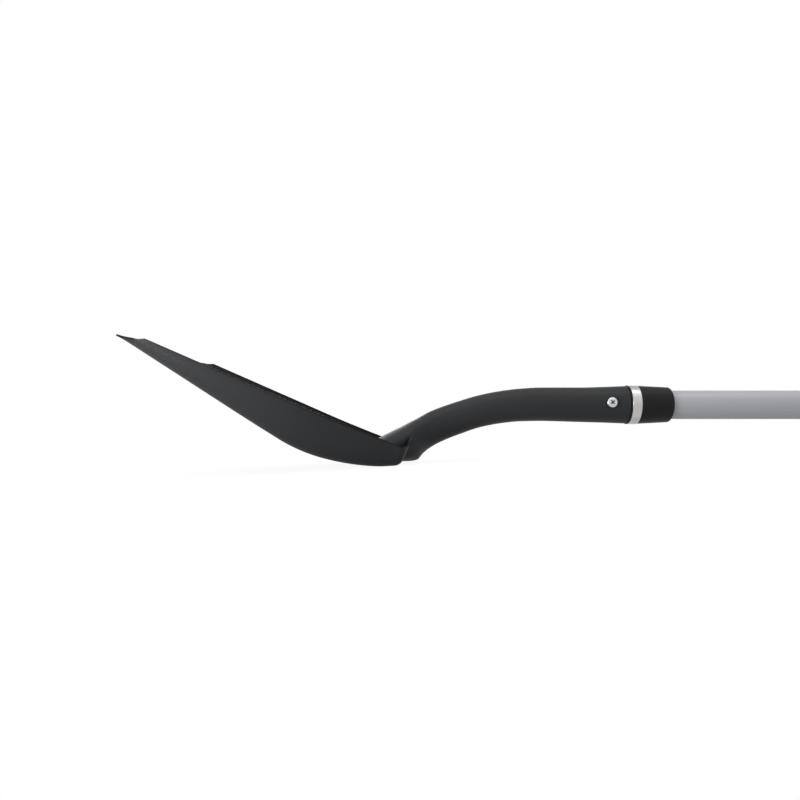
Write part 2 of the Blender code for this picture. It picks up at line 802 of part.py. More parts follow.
def build_screw(name, x, seat_radius, raised, finish, parts, cutters):
    """Screw with a domed head, a cross recess and a plain pointed shank."""
    length = screw_length(seat_radius)
    dome = 6
    outline = []
    for i in range(dome):
        turn = math.pi / 2 * (1 - i / dome)
        outline.append((HEAD_RADIUS * math.cos(turn), HEAD_HEIGHT * (0.25 + 0.75 * math.sin(turn))))
    outline[0] = (0.0, HEAD_HEIGHT)
    outline += [
        (HEAD_RADIUS, HEAD_HEIGHT * 0.25),
        (HEAD_RADIUS, 0.0),
        (SHANK_RADIUS, 0.0),
        (SHANK_RADIUS, -length + SHANK_RADIUS),
        (0.0, -length),
    ]
    screw = turned(name, outline, finish, parts, steps=24)
    point_sideways(screw, x, seat_radius, raised)
    for i in range(2):
        bpy.ops.mesh.primitive_cube_add(size=1.0, location=(0.0, 0.0, 0.0))
        slot = bpy.context.object
        slot.name = f"{name}_slot_{i + 1}"
        turn = Matrix.Rotation(RECESS_TURN + math.pi / 2 * i, 4, "Z")
        size = Matrix.Diagonal((RECESS_SPAN, RECESS_WIDTH, 2 * RECESS_DEPTH, 1.0))
        slot.data.transform(Matrix.Translation((0.0, 0.0, HEAD_HEIGHT)) @ turn @ size)
        move_to(slot, cutters)
        hide_cutter(slot)
        point_sideways(slot, x, seat_radius, raised)
        cut(screw, slot)
    return screw


def arch_station(turn):
    """Middle point, direction, half width and half depth of the grip's arch.

    turn runs from -90 degrees at the near boss, by 0 on the socket's end, to 90 at the far boss. The
    middle line is half an ellipse, and the section is widest on the socket.
    """
    crown_x = SOCKET_TOP + ARCH_WIDTH / 2 - ARCH_BITE
    span_x = BAR_X - crown_x
    span_y = HAND_WIDTH / 2 + BOSS_WIDTH - BOSS_PROUD - ARM_WIDTH / 2
    centre = Vector((crown_x + span_x * (1 - math.cos(turn)), span_y * math.sin(turn), 0.0))
    ahead = Vector((span_x * math.sin(turn), span_y * math.cos(turn), 0.0)).normalized()
    share = math.sin(turn) ** 2
    half_width = (ARCH_WIDTH + (ARM_WIDTH - ARCH_WIDTH) * share) / 2
    half_depth = (ARCH_DEPTH + (ARM_DEPTH - ARCH_DEPTH) * share) / 2
    return centre, ahead, half_width, half_depth


def arch_mesh():
    """Loft of the grip's arch, its sections square to the middle line."""
    count = 26
    rings = []
    for i in range(count + 1):
        centre, ahead, half_width, half_depth = arch_station(math.pi * (i / count - 0.5))
        across = Vector((ahead.y, -ahead.x, 0.0))
        ring = []
        for out, up in oval(half_width, half_depth, -half_depth, 0.5, LIMB_SQUARE):
            ring.append(tuple(centre + across * out + Vector((0.0, 0.0, up))))
        rings.append(ring)
    return loft("arch", rings)


def throat_mesh():
    """Loft that leads from the round socket into the flatter arch."""
    sections = (
        (-0.014, 0.96 * SOCKET_RADIUS, 0.96 * SOCKET_RADIUS, 2.0),
        (-0.004, 1.06 * SOCKET_RADIUS, 0.91 * SOCKET_RADIUS, 2.1),
        (0.20 * ARCH_WIDTH, 1.28 * SOCKET_RADIUS, 0.54 * ARCH_DEPTH, 2.3),
        (0.45 * ARCH_WIDTH, 1.42 * SOCKET_RADIUS, 0.42 * ARCH_DEPTH, 2.4),
    )
    rings = []
    for lift, half_width, half_depth, square in sections:
        section = oval(half_width, half_depth, -half_depth, 0.5, square)
        rings.append([(SOCKET_TOP + lift, y, z) for y, z in section])
    return loft("throat", rings)


def build_grip(finishes, parts, cutters, grip_bore):
    """D-shaped grip: socket, arch, two bosses and the bar as one moulding, and the bar's soft sleeve."""
    socket_foot = TUBE_TOP - (SOCKET_LENGTH - GAP - SOCKET_FLOOR)
    yoke = turned(
        "grip_yoke",
        [
            (0.0, SOCKET_LENGTH),
            (SOCKET_RADIUS - SOCKET_ROUND, SOCKET_LENGTH),
            (SOCKET_RADIUS - SOCKET_ROUND * 0.3, SOCKET_LENGTH - SOCKET_ROUND * 0.3),
            (SOCKET_RADIUS, SOCKET_LENGTH - SOCKET_ROUND),
            (SOCKET_RADIUS, SOCKET_ROUND / 2),
            (SOCKET_RADIUS - SOCKET_ROUND / 2, 0.0),
            (0.0, 0.0),
        ],
        finishes["grip"],
        parts,
    )
    along_shaft(yoke, socket_foot)
    for shape in (throat_mesh(), arch_mesh()):
        limb = mesh_object(shape.name, shape, None, cutters)
        hide_cutter(limb)
        cut(yoke, limb, "UNION")
    crossbar = build_crossbar(cutters)
    cut(yoke, crossbar, "UNION")
    clear_tube = turned(
        "tube_clearance",
        [
            (0.0, SOCKET_LENGTH - SOCKET_FLOOR),
            (SOCKET_BORE, SOCKET_LENGTH - SOCKET_FLOOR),
            (SOCKET_BORE, -SOCKET_LENGTH),
            (0.0, -SOCKET_LENGTH),
        ],
        None,
        cutters,
        phase=math.pi / TURN_STEPS,
    )
    along_shaft(clear_tube, socket_foot)
    hide_cutter(clear_tube)
    cut(yoke, clear_tube)
    cut(yoke, grip_bore)

    length = HAND_WIDTH - 2 * GAP
    edge = SLEEVE_EDGE
    count = 8
    outline = [(SLEEVE_RADIUS - SLEEVE_WALL, length), (SLEEVE_RADIUS - SLEEVE_CROWN - edge, length)]
    for i in range(count + 1):
        height = (length - edge) - (length - 2 * edge) * i / count
        crown = SLEEVE_CROWN * math.sin(math.pi * height / length) ** 0.5
        outline.append((SLEEVE_RADIUS - SLEEVE_CROWN + crown, height))
    outline += [(SLEEVE_RADIUS - SLEEVE_CROWN - edge, 0.0), (SLEEVE_RADIUS - SLEEVE_WALL, 0.0)]
    sleeve = turned("grip_sleeve", outline, finishes["sleeve"], parts)
    across_shaft(sleeve, -length / 2)
    return yoke, sleeve


def build_crossbar(cutters):
    """Bar between the arch's ends, with a round boss at each end, as one turned shape."""
    half = []
    for radius, inset in (
        (BOSS_RADIUS - BOSS_ROUND, 0.0),
        (BOSS_RADIUS - BOSS_ROUND * 0.3, BOSS_ROUND * 0.3),
        (BOSS_RADIUS, BOSS_ROUND),
        (BOSS_RADIUS, BOSS_WIDTH),
        (BAR_RADIUS, BOSS_WIDTH),
    ):
        half.append((radius, HAND_WIDTH / 2 + BOSS_WIDTH - inset))
    mirrored = [(radius, -height) for radius, height in reversed(half)]
    ends = HAND_WIDTH / 2 + BOSS_WIDTH
    crossbar = turned("crossbar", [(0.0, ends)] + half + mirrored + [(0.0, -ends)], None, cutters)
    across_shaft(crossbar, 0.0)
    hide_cutter(crossbar)
    return crossbar


def across_shaft(piece, y):
    """Lays a turned piece's axis along the grip's bar, its foot at y."""
    piece.rotation_euler = (-math.pi / 2, 0.0, 0.0)
    piece.location = (BAR_X, y, 0.0)


def settle(carrier, parts):
    """Puts the origin below the middle of the bounding box of all the pieces."""
    bpy.context.view_layer.update()
    depsgraph = bpy.context.evaluated_depsgraph_get()
    corners = []
    for piece in parts.objects:
        if piece.type != "MESH":
            continue
        evaluated = piece.evaluated_get(depsgraph)
        mesh = evaluated.to_mesh()
        corners += [evaluated.matrix_world @ vertex.co for vertex in mesh.vertices]
        evaluated.to_mesh_clear()
    low = Vector([min(corner[i] for corner in corners) for i in range(3)])
    high = Vector([max(corner[i] for corner in corners) for i in range(3)])
    middle = (low + high) / 2
    carrier.location -= Vector((middle.x, middle.y, low.z))


def main():
    """Builds the shovel."""
    for old in list(bpy.data.objects):
        bpy.data.objects.remove(old)
    parts = bpy.data.collections.new("square_shovel")
    cutters = bpy.data.collections.new("cutters")
    for collection in (parts, cutters):
        bpy.context.scene.collection.children.link(collection)

    finishes = {
        "pan": material("pan_paint", (0.055, 0.057, 0.060), 0.42, 0.35),
        "neck": material("neck_paint", (0.050, 0.052, 0.056), 0.40, 0.35),
        "seal": material("seal_rubber", (0.012, 0.012, 0.013), 0.55, 0.0),
        "ring": material("ring_metal", (0.62, 0.61, 0.60), 0.28, 1.0),
        "collar": material("collar_plastic", (0.016, 0.016, 0.017), 0.40, 0.0),
        "tube": material("tube_paint", (0.36, 0.37, 0.39), 0.50, 0.2),
        "wood": material("plug_wood", (0.50, 0.34, 0.20), 0.70, 0.0),
        "zinc": material("screw_zinc", (0.70, 0.70, 0.71), 0.25, 1.0),
        "grip": material("grip_plastic", (0.016, 0.016, 0.017), 0.45, 0.0),
        "sleeve": material("sleeve_rubber", (0.020, 0.020, 0.021), 0.65, 0.0),
    }

    neck_screw_x = -NECK_SCREW_INSET
    grip_screw_x = TUBE_TOP - GRIP_SCREW_INSET
    neck_screw = (neck_screw_x, MOUTH_RADIUS, NECK_SCREW_RAISE)
    grip_screw = (grip_screw_x, SOCKET_RADIUS, GRIP_SCREW_RAISE)
    neck_bore = build_bore("neck_screw_bore", *neck_screw, cutters)
    grip_bore = build_bore("grip_screw_bore", *grip_screw, cutters)

    build_pan(finishes["pan"], parts, cutters)
    build_neck(finishes["neck"], parts, cutters, neck_bore)
    build_mouth(finishes, parts, neck_bore)
    build_shaft(finishes, parts, (neck_bore, grip_bore))
    build_grip(finishes, parts, cutters, grip_bore)
    build_screw("shaft_screw", *neck_screw, finishes["zinc"], parts, cutters)
    build_screw("grip_screw", *grip_screw, finishes["zinc"], parts, cutters)

    carrier = bpy.data.objects.new("lay", None)
    parts.objects.link(carrier)
    carrier.rotation_euler = (0.0, LAY, 0.0)
    for collection in (parts, cutters):
        for piece in collection.objects:
            if piece is not carrier:
                piece.parent = carrier
    settle(carrier, parts)


main()
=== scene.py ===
"""Looks of a square shovel: satin charcoal pan and neck, ring and collar, silver tube, D-shaped grip.

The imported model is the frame. Every visible piece is a finer surface on the sizes of the node that it
stands for, and the plug inside the tube keeps its node. Lengths are metres. Shapes are drawn in the
shaft's frame: its origin is the centre of the neck's mouth, +X runs up the shaft, and +Z is the open
side of the pan. ShaftFrame turns them into the model's frame, in which the shovel lies on the ground.
"""

from __future__ import annotations

import json
import logging
import math
from contextlib import contextmanager
from dataclasses import dataclass, field
from enum import Enum
from typing import Any, Iterator, Sequence

import bmesh
import bpy
import numpy as np
from mathutils import Matrix, Vector

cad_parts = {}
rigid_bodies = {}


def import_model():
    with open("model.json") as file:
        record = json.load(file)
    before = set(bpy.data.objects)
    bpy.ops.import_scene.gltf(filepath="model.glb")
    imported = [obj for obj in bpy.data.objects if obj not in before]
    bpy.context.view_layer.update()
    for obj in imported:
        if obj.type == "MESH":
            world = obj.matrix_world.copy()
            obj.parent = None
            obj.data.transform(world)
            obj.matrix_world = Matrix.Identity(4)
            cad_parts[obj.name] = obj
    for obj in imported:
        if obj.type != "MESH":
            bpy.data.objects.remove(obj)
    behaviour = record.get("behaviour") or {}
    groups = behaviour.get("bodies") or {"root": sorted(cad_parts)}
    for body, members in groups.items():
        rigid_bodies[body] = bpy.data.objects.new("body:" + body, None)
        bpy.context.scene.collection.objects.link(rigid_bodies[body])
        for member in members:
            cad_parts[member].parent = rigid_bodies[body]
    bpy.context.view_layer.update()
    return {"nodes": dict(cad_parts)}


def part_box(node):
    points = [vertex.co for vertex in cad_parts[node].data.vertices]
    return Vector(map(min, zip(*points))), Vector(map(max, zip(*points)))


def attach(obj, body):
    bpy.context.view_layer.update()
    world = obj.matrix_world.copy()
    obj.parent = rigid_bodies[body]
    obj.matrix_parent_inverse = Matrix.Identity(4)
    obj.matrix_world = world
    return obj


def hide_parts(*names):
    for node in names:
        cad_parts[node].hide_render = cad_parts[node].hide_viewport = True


log = logging.getLogger("shovel")

Array = np.ndarray
Triple = tuple[float, float, float]
BODY = "root"
TAU = 2.0 * math.pi
MERGE = 1e-6
WHITE = (1.0, 1.0, 1.0, 1.0)
NECK_SCREW_RAISE = math.radians(4.7)


# ---- Curves and surfaces ----


def flow(knots: Array, values: Array, at: Array) -> Array:
    """Smooth curves through knots that never swing past them.

    Each knot's slope is the harmonic mean of the slopes on its two sides, or 0 where they differ in
    sign, and a cubic joins each pair of knots.

    Args:
        knots: rising positions, shape (n,).
        values: what the curves pass through, shape (n, columns).
        at: where to read them, shape (m,).

    Returns:
        The curves' values, shape (m, columns).
    """
    step = np.diff(knots)[:, None]
    rise = np.diff(values, axis=0) / step
    before, after = rise[:-1], rise[1:]
    same_way = before * after > 0
    total = np.where(same_way, before + after, 1.0)
    inner = np.where(same_way, 2.0 * before * after / total, 0.0)
    slopes = np.concatenate([rise[:1], inner, rise[-1:]])
    piece = np.clip(np.searchsorted(knots, at) - 1, 0, len(knots) - 2)
    t = ((at - knots[piece]) / step[piece, 0])[:, None]
    level = values[piece] * (1 + 2 * t) * (1 - t) ** 2 + values[piece + 1] * t * t * (3 - 2 * t)
    lean = slopes[piece] * t * (1 - t) ** 2 + slopes[piece + 1] * t * t * (t - 1)
    return level + step[piece] * lean


def ease(value: Array) -> Array:
    """Smooth step from 0 to 1: 3t² - 2t³ of the value held between 0 and 1."""
    t = np.clip(value, 0.0, 1.0)
    return t * t * (3.0 - 2.0 * t)


def signed_power(value: Array, power: Array | float) -> Array:
    """The value's size to a power, with its own sign."""
    return np.sign(value) * np.abs(value) ** power


def soften(corners: Sequence[Triple], steps: int = 5) -> Array:
    """Closed outline with each corner rounded.

    A corner becomes a quadratic Bezier arc from a point before it to a point after it, both at the
    corner's reach, or at a third of the side where that is shorter.

    Args:
        corners: (radius, height, reach) of each corner.
        steps: points on each arc.

    Returns:
        Points (radius, height), shape (n, 2).
    """
    table = np.asarray(corners, float)
    points, reach = table[:, :2], table[:, 2]
    before = np.roll(points, 1, axis=0) - points
    after = np.roll(points, -1, axis=0) - points
    long_before = np.linalg.norm(before, axis=1)
    long_after = np.linalg.norm(after, axis=1)
    start = points + before * (np.minimum(reach, long_before / 3) / long_before)[:, None]
    end = points + after * (np.minimum(reach, long_after / 3) / long_after)[:, None]
    t = np.linspace(0.0, 1.0, steps)[None, :, None]
    arcs = start[:, None] * (1 - t) ** 2 + points[:, None] * 2 * t * (1 - t) + end[:, None] * t * t
    return arcs.reshape(-1, 2)


def ring_outline(inner: float, outer: float, length: float, rounding: float) -> Array:
    """Outline of a plain ring: its outer corners rounded by a reach, its inner ones just broken.

    Args:
        inner, outer: the ring's radii.
        length: how far it goes along its axis, from a height of 0.
        rounding: the outer corners' reach.

    Returns:
        Points (radius, height), shape (n, 2).
    """
    broken = 0.0002
    top = [(inner, length, broken), (outer, length, rounding)]
    return soften([*top, (outer, 0.0, rounding), (inner, 0.0, broken)])


def superellipse(
    half: Array, top: Array, bottom: Array, belly: Array, square: Array, sides: int
) -> Array:
    """Rings of superellipses whose widest line lies at a share of their height.

    y is half times cos to the power 2 / square, and z is the widest line plus the reach above or below
    it times sin to the same power.

    Args:
        half, top, bottom, belly, square: one value for each ring, shape (rings,).
        sides: points round a ring.

    Returns:
        Points (y, z), shape (rings, sides, 2).
    """
    turn = TAU * (np.arange(sides) + 0.5) / sides
    power = (2.0 / square)[:, None]
    middle = bottom + belly * (top - bottom)
    up = np.sin(turn)[None, :] > 0
    reach = np.where(up, (top - middle)[:, None], (middle - bottom)[:, None])
    y = half[:, None] * signed_power(np.cos(turn)[None, :], power)
    z = middle[:, None] + reach * signed_power(np.sin(turn)[None, :], power)
    return np.stack([y, z], axis=-1)


def quads(rows: int, columns: int, round_rows: bool, round_columns: bool) -> Array:
    """Corner numbers of the quads of a grid.

    Args:
        rows, columns: the grid's size.
        round_rows: whether the last row joins the first.
        round_columns: whether the last column joins the first.

    Returns:
        Corner numbers, shape (faces, 4).
    """
    i = np.arange(rows if round_rows else rows - 1)[:, None]
    j = np.arange(columns if round_columns else columns - 1)[None, :]
    following_i = (i + 1) % rows
    following_j = (j + 1) % columns
    corners = [
        i * columns + j,
        i * columns + following_j,
        following_i * columns + following_j,
        following_i * columns + j,
    ]
    return np.stack([np.broadcast_to(c, (i.size, j.size)) for c in corners], axis=-1).reshape(-1, 4)


@dataclass(frozen=True)
class Patch:
    """One grid of points, shape (rows, columns, 3), and how its edges join."""

    points: Array
    round_rows: bool = False
    round_columns: bool = False
    first_cap: bool = False
    last_cap: bool = False

    def faces(self) -> list[tuple[int, ...]]:
        """Quads of the grid, with a face over its first or last row where one is asked for.

        Returns:
            Each face's corner numbers.
        """
        rows, columns = self.points.shape[:2]
        corners = quads(rows, columns, self.round_rows, self.round_columns)
        grid = [tuple(face) for face in corners.tolist()]
        if self.first_cap:
            grid.append(tuple(range(columns)))
        if self.last_cap:
            start = (rows - 1) * columns
            grid.append(tuple(range(start + columns - 1, start - 1, -1)))
        return grid


def new_object(name: str, data: bpy.types.ID) -> bpy.types.Object:
    """Puts an object into the scene.

    Args:
        name: its name.
        data: its mesh, lamp or camera.

    Returns:
        The new object.
    """
    made = bpy.data.objects.new(name, data)
    bpy.context.scene.collection.objects.link(made)
    return made


def modify(piece: bpy.types.Object, kind: str, **settings: Any) -> None:
    """Adds a modifier to a piece.

    Args:
        piece: the object.
        kind: the modifier's type.
        settings: its attributes.
    """
    made = piece.modifiers.new(kind.lower(), kind)
    for key, value in settings.items():
        setattr(made, key, value)


@contextmanager
def editing(mesh: bpy.types.Mesh) -> Iterator[bmesh.types.BMesh]:
    """Opens a mesh for edits, and writes them back at the end.

    Args:
        mesh: the mesh to edit.

    Returns:
        Its editable form.
    """
    shape = bmesh.new()
    shape.from_mesh(mesh)
    yield shape
    shape.to_mesh(mesh)
    shape.free()


def make_piece(name: str, patches: Sequence[Patch], sharp_degrees: float = 40.0) -> bpy.types.Object:
    """Object made of patches whose common points are merged, with its faces pointing out.

    Args:
        name: the piece's name.
        patches: the grids that it is made of, in the model's frame.
        sharp_degrees: edges over this angle keep a crisp shade.

    Returns:
        The new object at the origin, its place in its mesh.
    """
    points: list[Array] = []
    faces: list[tuple[int, ...]] = []
    start = 0
    for patch in patches:
        flat = patch.points.reshape(-1, 3)
        points.append(flat)
        faces += [tuple(corner + start for corner in face) for face in patch.faces()]
        start += len(flat)
    mesh = bpy.data.meshes.new(name)
    mesh.from_pydata(np.concatenate(points).tolist(), [], faces)
    with editing(mesh) as shape:
        bmesh.ops.remove_doubles(shape, verts=shape.verts, dist=MERGE)
        bmesh.ops.dissolve_degenerate(shape, edges=shape.edges, dist=MERGE)
        bmesh.ops.recalc_face_normals(shape, faces=shape.faces)
    mesh.shade_smooth()
    mesh.set_sharp_from_angle(angle=math.radians(sharp_degrees))
    return new_object(name, mesh)


@dataclass(frozen=True)
class Axis:
    """A line that a turned piece goes round: its foot, its direction, and where the turn starts."""

    foot: Triple
    along: Triple
    start: Triple

    @classmethod
    def up_shaft(cls, x: float) -> Axis:
        """The shaft's own line, from a foot at x."""
        return cls((x, 0.0, 0.0), (1.0, 0.0, 0.0), (0.0, 0.0, 1.0))

    def turned(self, outline: Array, steps: int) -> Array:
        """Surface of revolution: foot + along * height + radius * (start cos t + side sin t).

        Args:
            outline: points (radius, height), shape (n, 2).
            steps: columns round the axis.

        Returns:
            Points, shape (n, steps, 3).
        """
        foot, along, start = (np.array(v, float) for v in (self.foot, self.along, self.start))
        side = np.cross(along, start)
        turn = TAU * np.arange(steps) / steps
        ring = np.cos(turn)[:, None] * start + np.sin(turn)[:, None] * side
        return foot + outline[:, None, 1:] * along + outline[:, None, :1] * ring[None]


# ---- Shaders ----


@dataclass(frozen=True)
class Signal:
    """A number that varies over a surface: the socket of a node, with Python's arithmetic on it."""

    recipe: Recipe
    socket: bpy.types.NodeSocket

    def _maths(self, operation: str, first: Any, second: Any) -> Signal:
        """Adds a Math node for an operation on two values."""
        return self.recipe.node("ShaderNodeMath", {0: first, 1: second}, operation=operation)

    def __add__(self, other: Any) -> Signal:
        """This plus a value."""
        return self._maths("ADD", self, other)

    def __sub__(self, other: Any) -> Signal:
        """This less a value."""
        return self._maths("SUBTRACT", self, other)

    def __rsub__(self, other: Any) -> Signal:
        """A value less this."""
        return self._maths("SUBTRACT", other, self)

    def __mul__(self, other: Any) -> Signal:
        """This times a value."""
        return self._maths("MULTIPLY", self, other)

    def __truediv__(self, other: Any) -> Signal:
        """This over a value."""
        return self._maths("DIVIDE", self, other)

    def __rtruediv__(self, other: Any) -> Signal:
        """A value over this."""
        return self._maths("DIVIDE", other, self)

    def __pow__(self, other: Any) -> Signal:
        """This to a power."""
        return self._maths("POWER", self, other)

    def __rpow__(self, other: Any) -> Signal:
        """A value to the power of this."""
        return self._maths("POWER", other, self)

    __radd__ = __add__
    __rmul__ = __mul__


class Recipe:
    """A material or a world being made: one method adds its nodes, and Signal does its sums."""

    def __init__(self, name: str, world: bool = False) -> None:
        """Starts a material, or a world, with nothing but its output.

        Args:
            name: the material's or the world's name.
            world: whether it is a world.
        """
        kind = "ShaderNodeOutputWorld" if world else "ShaderNodeOutputMaterial"
        self.owner = (bpy.data.worlds if world else bpy.data.materials).new(name)
        self.owner.use_nodes = True
        self.tree = self.owner.node_tree
        self.tree.nodes.clear()
        self.output = self.tree.nodes.new(kind)

    def node(
        self, kind: str, inputs: dict[Any, Any] | None = None, output: int | str = 0, **settings: Any
    ) -> Signal:
        """Adds a node.

        Args:
            kind: the node's type.
            inputs: a value or a Signal for each socket, by name or number.
            output: the socket to read, by name or number.
            settings: the node's attributes, which are set before its sockets.

        Returns:
            The chosen output as a Signal.
        """
        made = self.tree.nodes.new(kind)
        for key, value in settings.items():
            setattr(made, key, value)
        for key, value in (inputs or {}).items():
            if isinstance(value, Signal):
                self.tree.links.new(value.socket, made.inputs[key])
            else:
                made.inputs[key].default_value = value
        return Signal(self, made.outputs[output])

    def place(self, frame: ShaftFrame) -> Signal:
        """Position on the piece in the shaft's frame, from Object coordinates.

        Args:
            frame: where the shaft's frame lies.

        Returns:
            The place, in metres.
        """
        where = self.node("ShaderNodeTexCoord", output="Object")
        inputs = {"Vector": where, "Location": frame.offset, "Rotation": (0.0, frame.lay, 0.0)}
        return self.node("ShaderNodeMapping", inputs, vector_type="TEXTURE")

    def noise(self, vector: Signal, scale: float, detail: float = 2.0, rough: float = 0.5) -> Signal:
        """Noise from 0 to 1 at a number of cells per unit of the vector."""
        inputs = {"Vector": vector, "Scale": scale, "Detail": detail, "Roughness": rough}
        return self.node("ShaderNodeTexNoise", inputs, "Fac")

    def streaks(self, where: Signal, along: float, across: float, detail: float, rough: float) -> Signal:
        """Noise with one number of cells per metre along the shaft, and another across it.

        Args:
            where: the place in the shaft's frame.
            along, across: cells per metre.
            detail, rough: the noise's own settings.

        Returns:
            The noise, from 0 to 1.
        """
        scaled = {0: where, 1: (along, across, across)}
        drawn = self.node("ShaderNodeVectorMath", scaled, operation="MULTIPLY")
        return self.noise(drawn, 1.0, detail, rough)

    def blend(self, share: Signal, first: Triple, second: Triple) -> Signal:
        """Colour between two colours by a share from 0 to 1."""
        inputs = {"Factor": share, "A": (*first, 1.0), "B": (*second, 1.0)}
        return self.node("ShaderNodeMix", inputs, "Result", data_type="RGBA", clamp_factor=True)

    def bump(self, height: Signal, strength: float, distance: float) -> Signal:
        """Normal from a height."""
        inputs = {"Height": height, "Strength": strength, "Distance": distance}
        return self.node("ShaderNodeBump", inputs, "Normal")

    def rays(self) -> list[Signal]:
        """Whether a ray comes from the camera, from a glossy surface, and through a clear one."""
        kinds = ("Is Camera Ray", "Is Glossy Ray", "Is Transmission Ray")
        return [self.node("ShaderNodeLightPath", output=kind) for kind in kinds]

    def behind(self, coordinates: str, start: float, end: float) -> Signal:
        """From 0 to 1 as Y of the coordinates goes from start to end, away from the camera.

        Args:
            coordinates: which output of the Texture Coordinate node.
            start, end: the values of Y that give 0 and 1.

        Returns:
            The share, held between 0 and 1.
        """
        where = self.node("ShaderNodeTexCoord", output=coordinates)
        y = self.node("ShaderNodeSeparateXYZ", {"Vector": where}, "Y")
        return self.node("ShaderNodeMapRange", {"Value": y, "From Min": start, "From Max": end})

    def close(self, shader: Signal) -> Any:
        """Joins a shader to the output, and gives the finished material or world."""
        self.tree.links.new(shader.socket, self.output.inputs["Surface"])
        return self.owner


# ---- Where things are ----


@dataclass(frozen=True)
class Sizes:
    """The shovel's main sizes, as the solids have them."""

    gap: float = 0.0003
    tube_radius: float = 0.016
    tube_wall: float = 0.0016
    tube_length: float = 0.692
    tube_insert: float = 0.070
    spigot_wall: float = 0.0024
    spigot_length: float = 0.030
    neck_wall: float = 0.002
    neck_length: float = 0.25845
    heel_drop: float = 0.0650
    tongue_length: float = 0.0645
    sheet: float = 0.0018
    neck_screw_inset: float = 0.02125
    grip_screw_inset: float = 0.018
    socket_wall: float = 0.004
    socket_floor: float = 0.006
    hand_depth: float = 0.060
    hand_width: float = 0.100
    bar_radius: float = 0.0115
    sleeve_wall: float = 0.0055

    @property
    def spigot_radius(self) -> float:
        """Outside radius of the collar's spigot at the mouth."""
        return self.tube_radius + self.gap + self.spigot_wall

    @property
    def mouth_radius(self) -> float:
        """Outside radius of the neck's mouth."""
        return self.spigot_radius + self.gap + self.neck_wall

    @property
    def waist_radius(self) -> float:
        """Outside radius of the neck where it closes on the tube."""
        return self.tube_radius + self.gap + self.neck_wall

    @property
    def sleeve_radius(self) -> float:
        """Outside radius of the grip's sleeve."""
        return self.bar_radius + self.gap + self.sleeve_wall

    @property
    def socket_radius(self) -> float:
        """Outside radius of the grip's socket."""
        return self.tube_radius + self.gap + self.socket_wall

    @property
    def tube_top(self) -> float:
        """Upper end of the tube, along the shaft."""
        return self.tube_length - self.tube_insert

    @property
    def bar_x(self) -> float:
        """Middle of the grip's bar, along the shaft."""
        return self.tube_top + self.gap + self.socket_floor + self.hand_depth + self.sleeve_radius


SIZES = Sizes()


@dataclass(frozen=True)
class ShaftFrame:
    """The turn and shift that lay the shaft's frame into the model's."""

    lay: float
    offset: Triple

    @classmethod
    def from_model(cls) -> ShaftFrame:
        """Works the frame out: the turn from the sizes, the shift from the sleeve's box.

        The turn brings the heel and the sleeve down to one level: the angle of the line from the
        heel to the bar, less the angle that the sleeve's radius takes up over that distance.

        Returns:
            The frame.
        """
        rise, run = SIZES.heel_drop, SIZES.bar_x + SIZES.neck_length
        lay = math.atan2(rise, run) - math.asin(SIZES.sleeve_radius / math.hypot(run, rise))
        low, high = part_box("grip_sleeve")
        bar = Matrix.Rotation(lay, 3, "Y") @ Vector((SIZES.bar_x, 0.0, 0.0))
        return cls(lay, tuple((low + high) / 2 - bar))

    def matrix(self) -> Matrix:
        """The turn and shift as one matrix."""
        return Matrix.Translation(self.offset) @ Matrix.Rotation(self.lay, 4, "Y")

    def lift(self, points: Array) -> Array:
        """Points of the shaft's frame, moved into the model's."""
        turn = np.array(self.matrix().to_3x3())
        return points @ turn.T + np.array(self.offset)


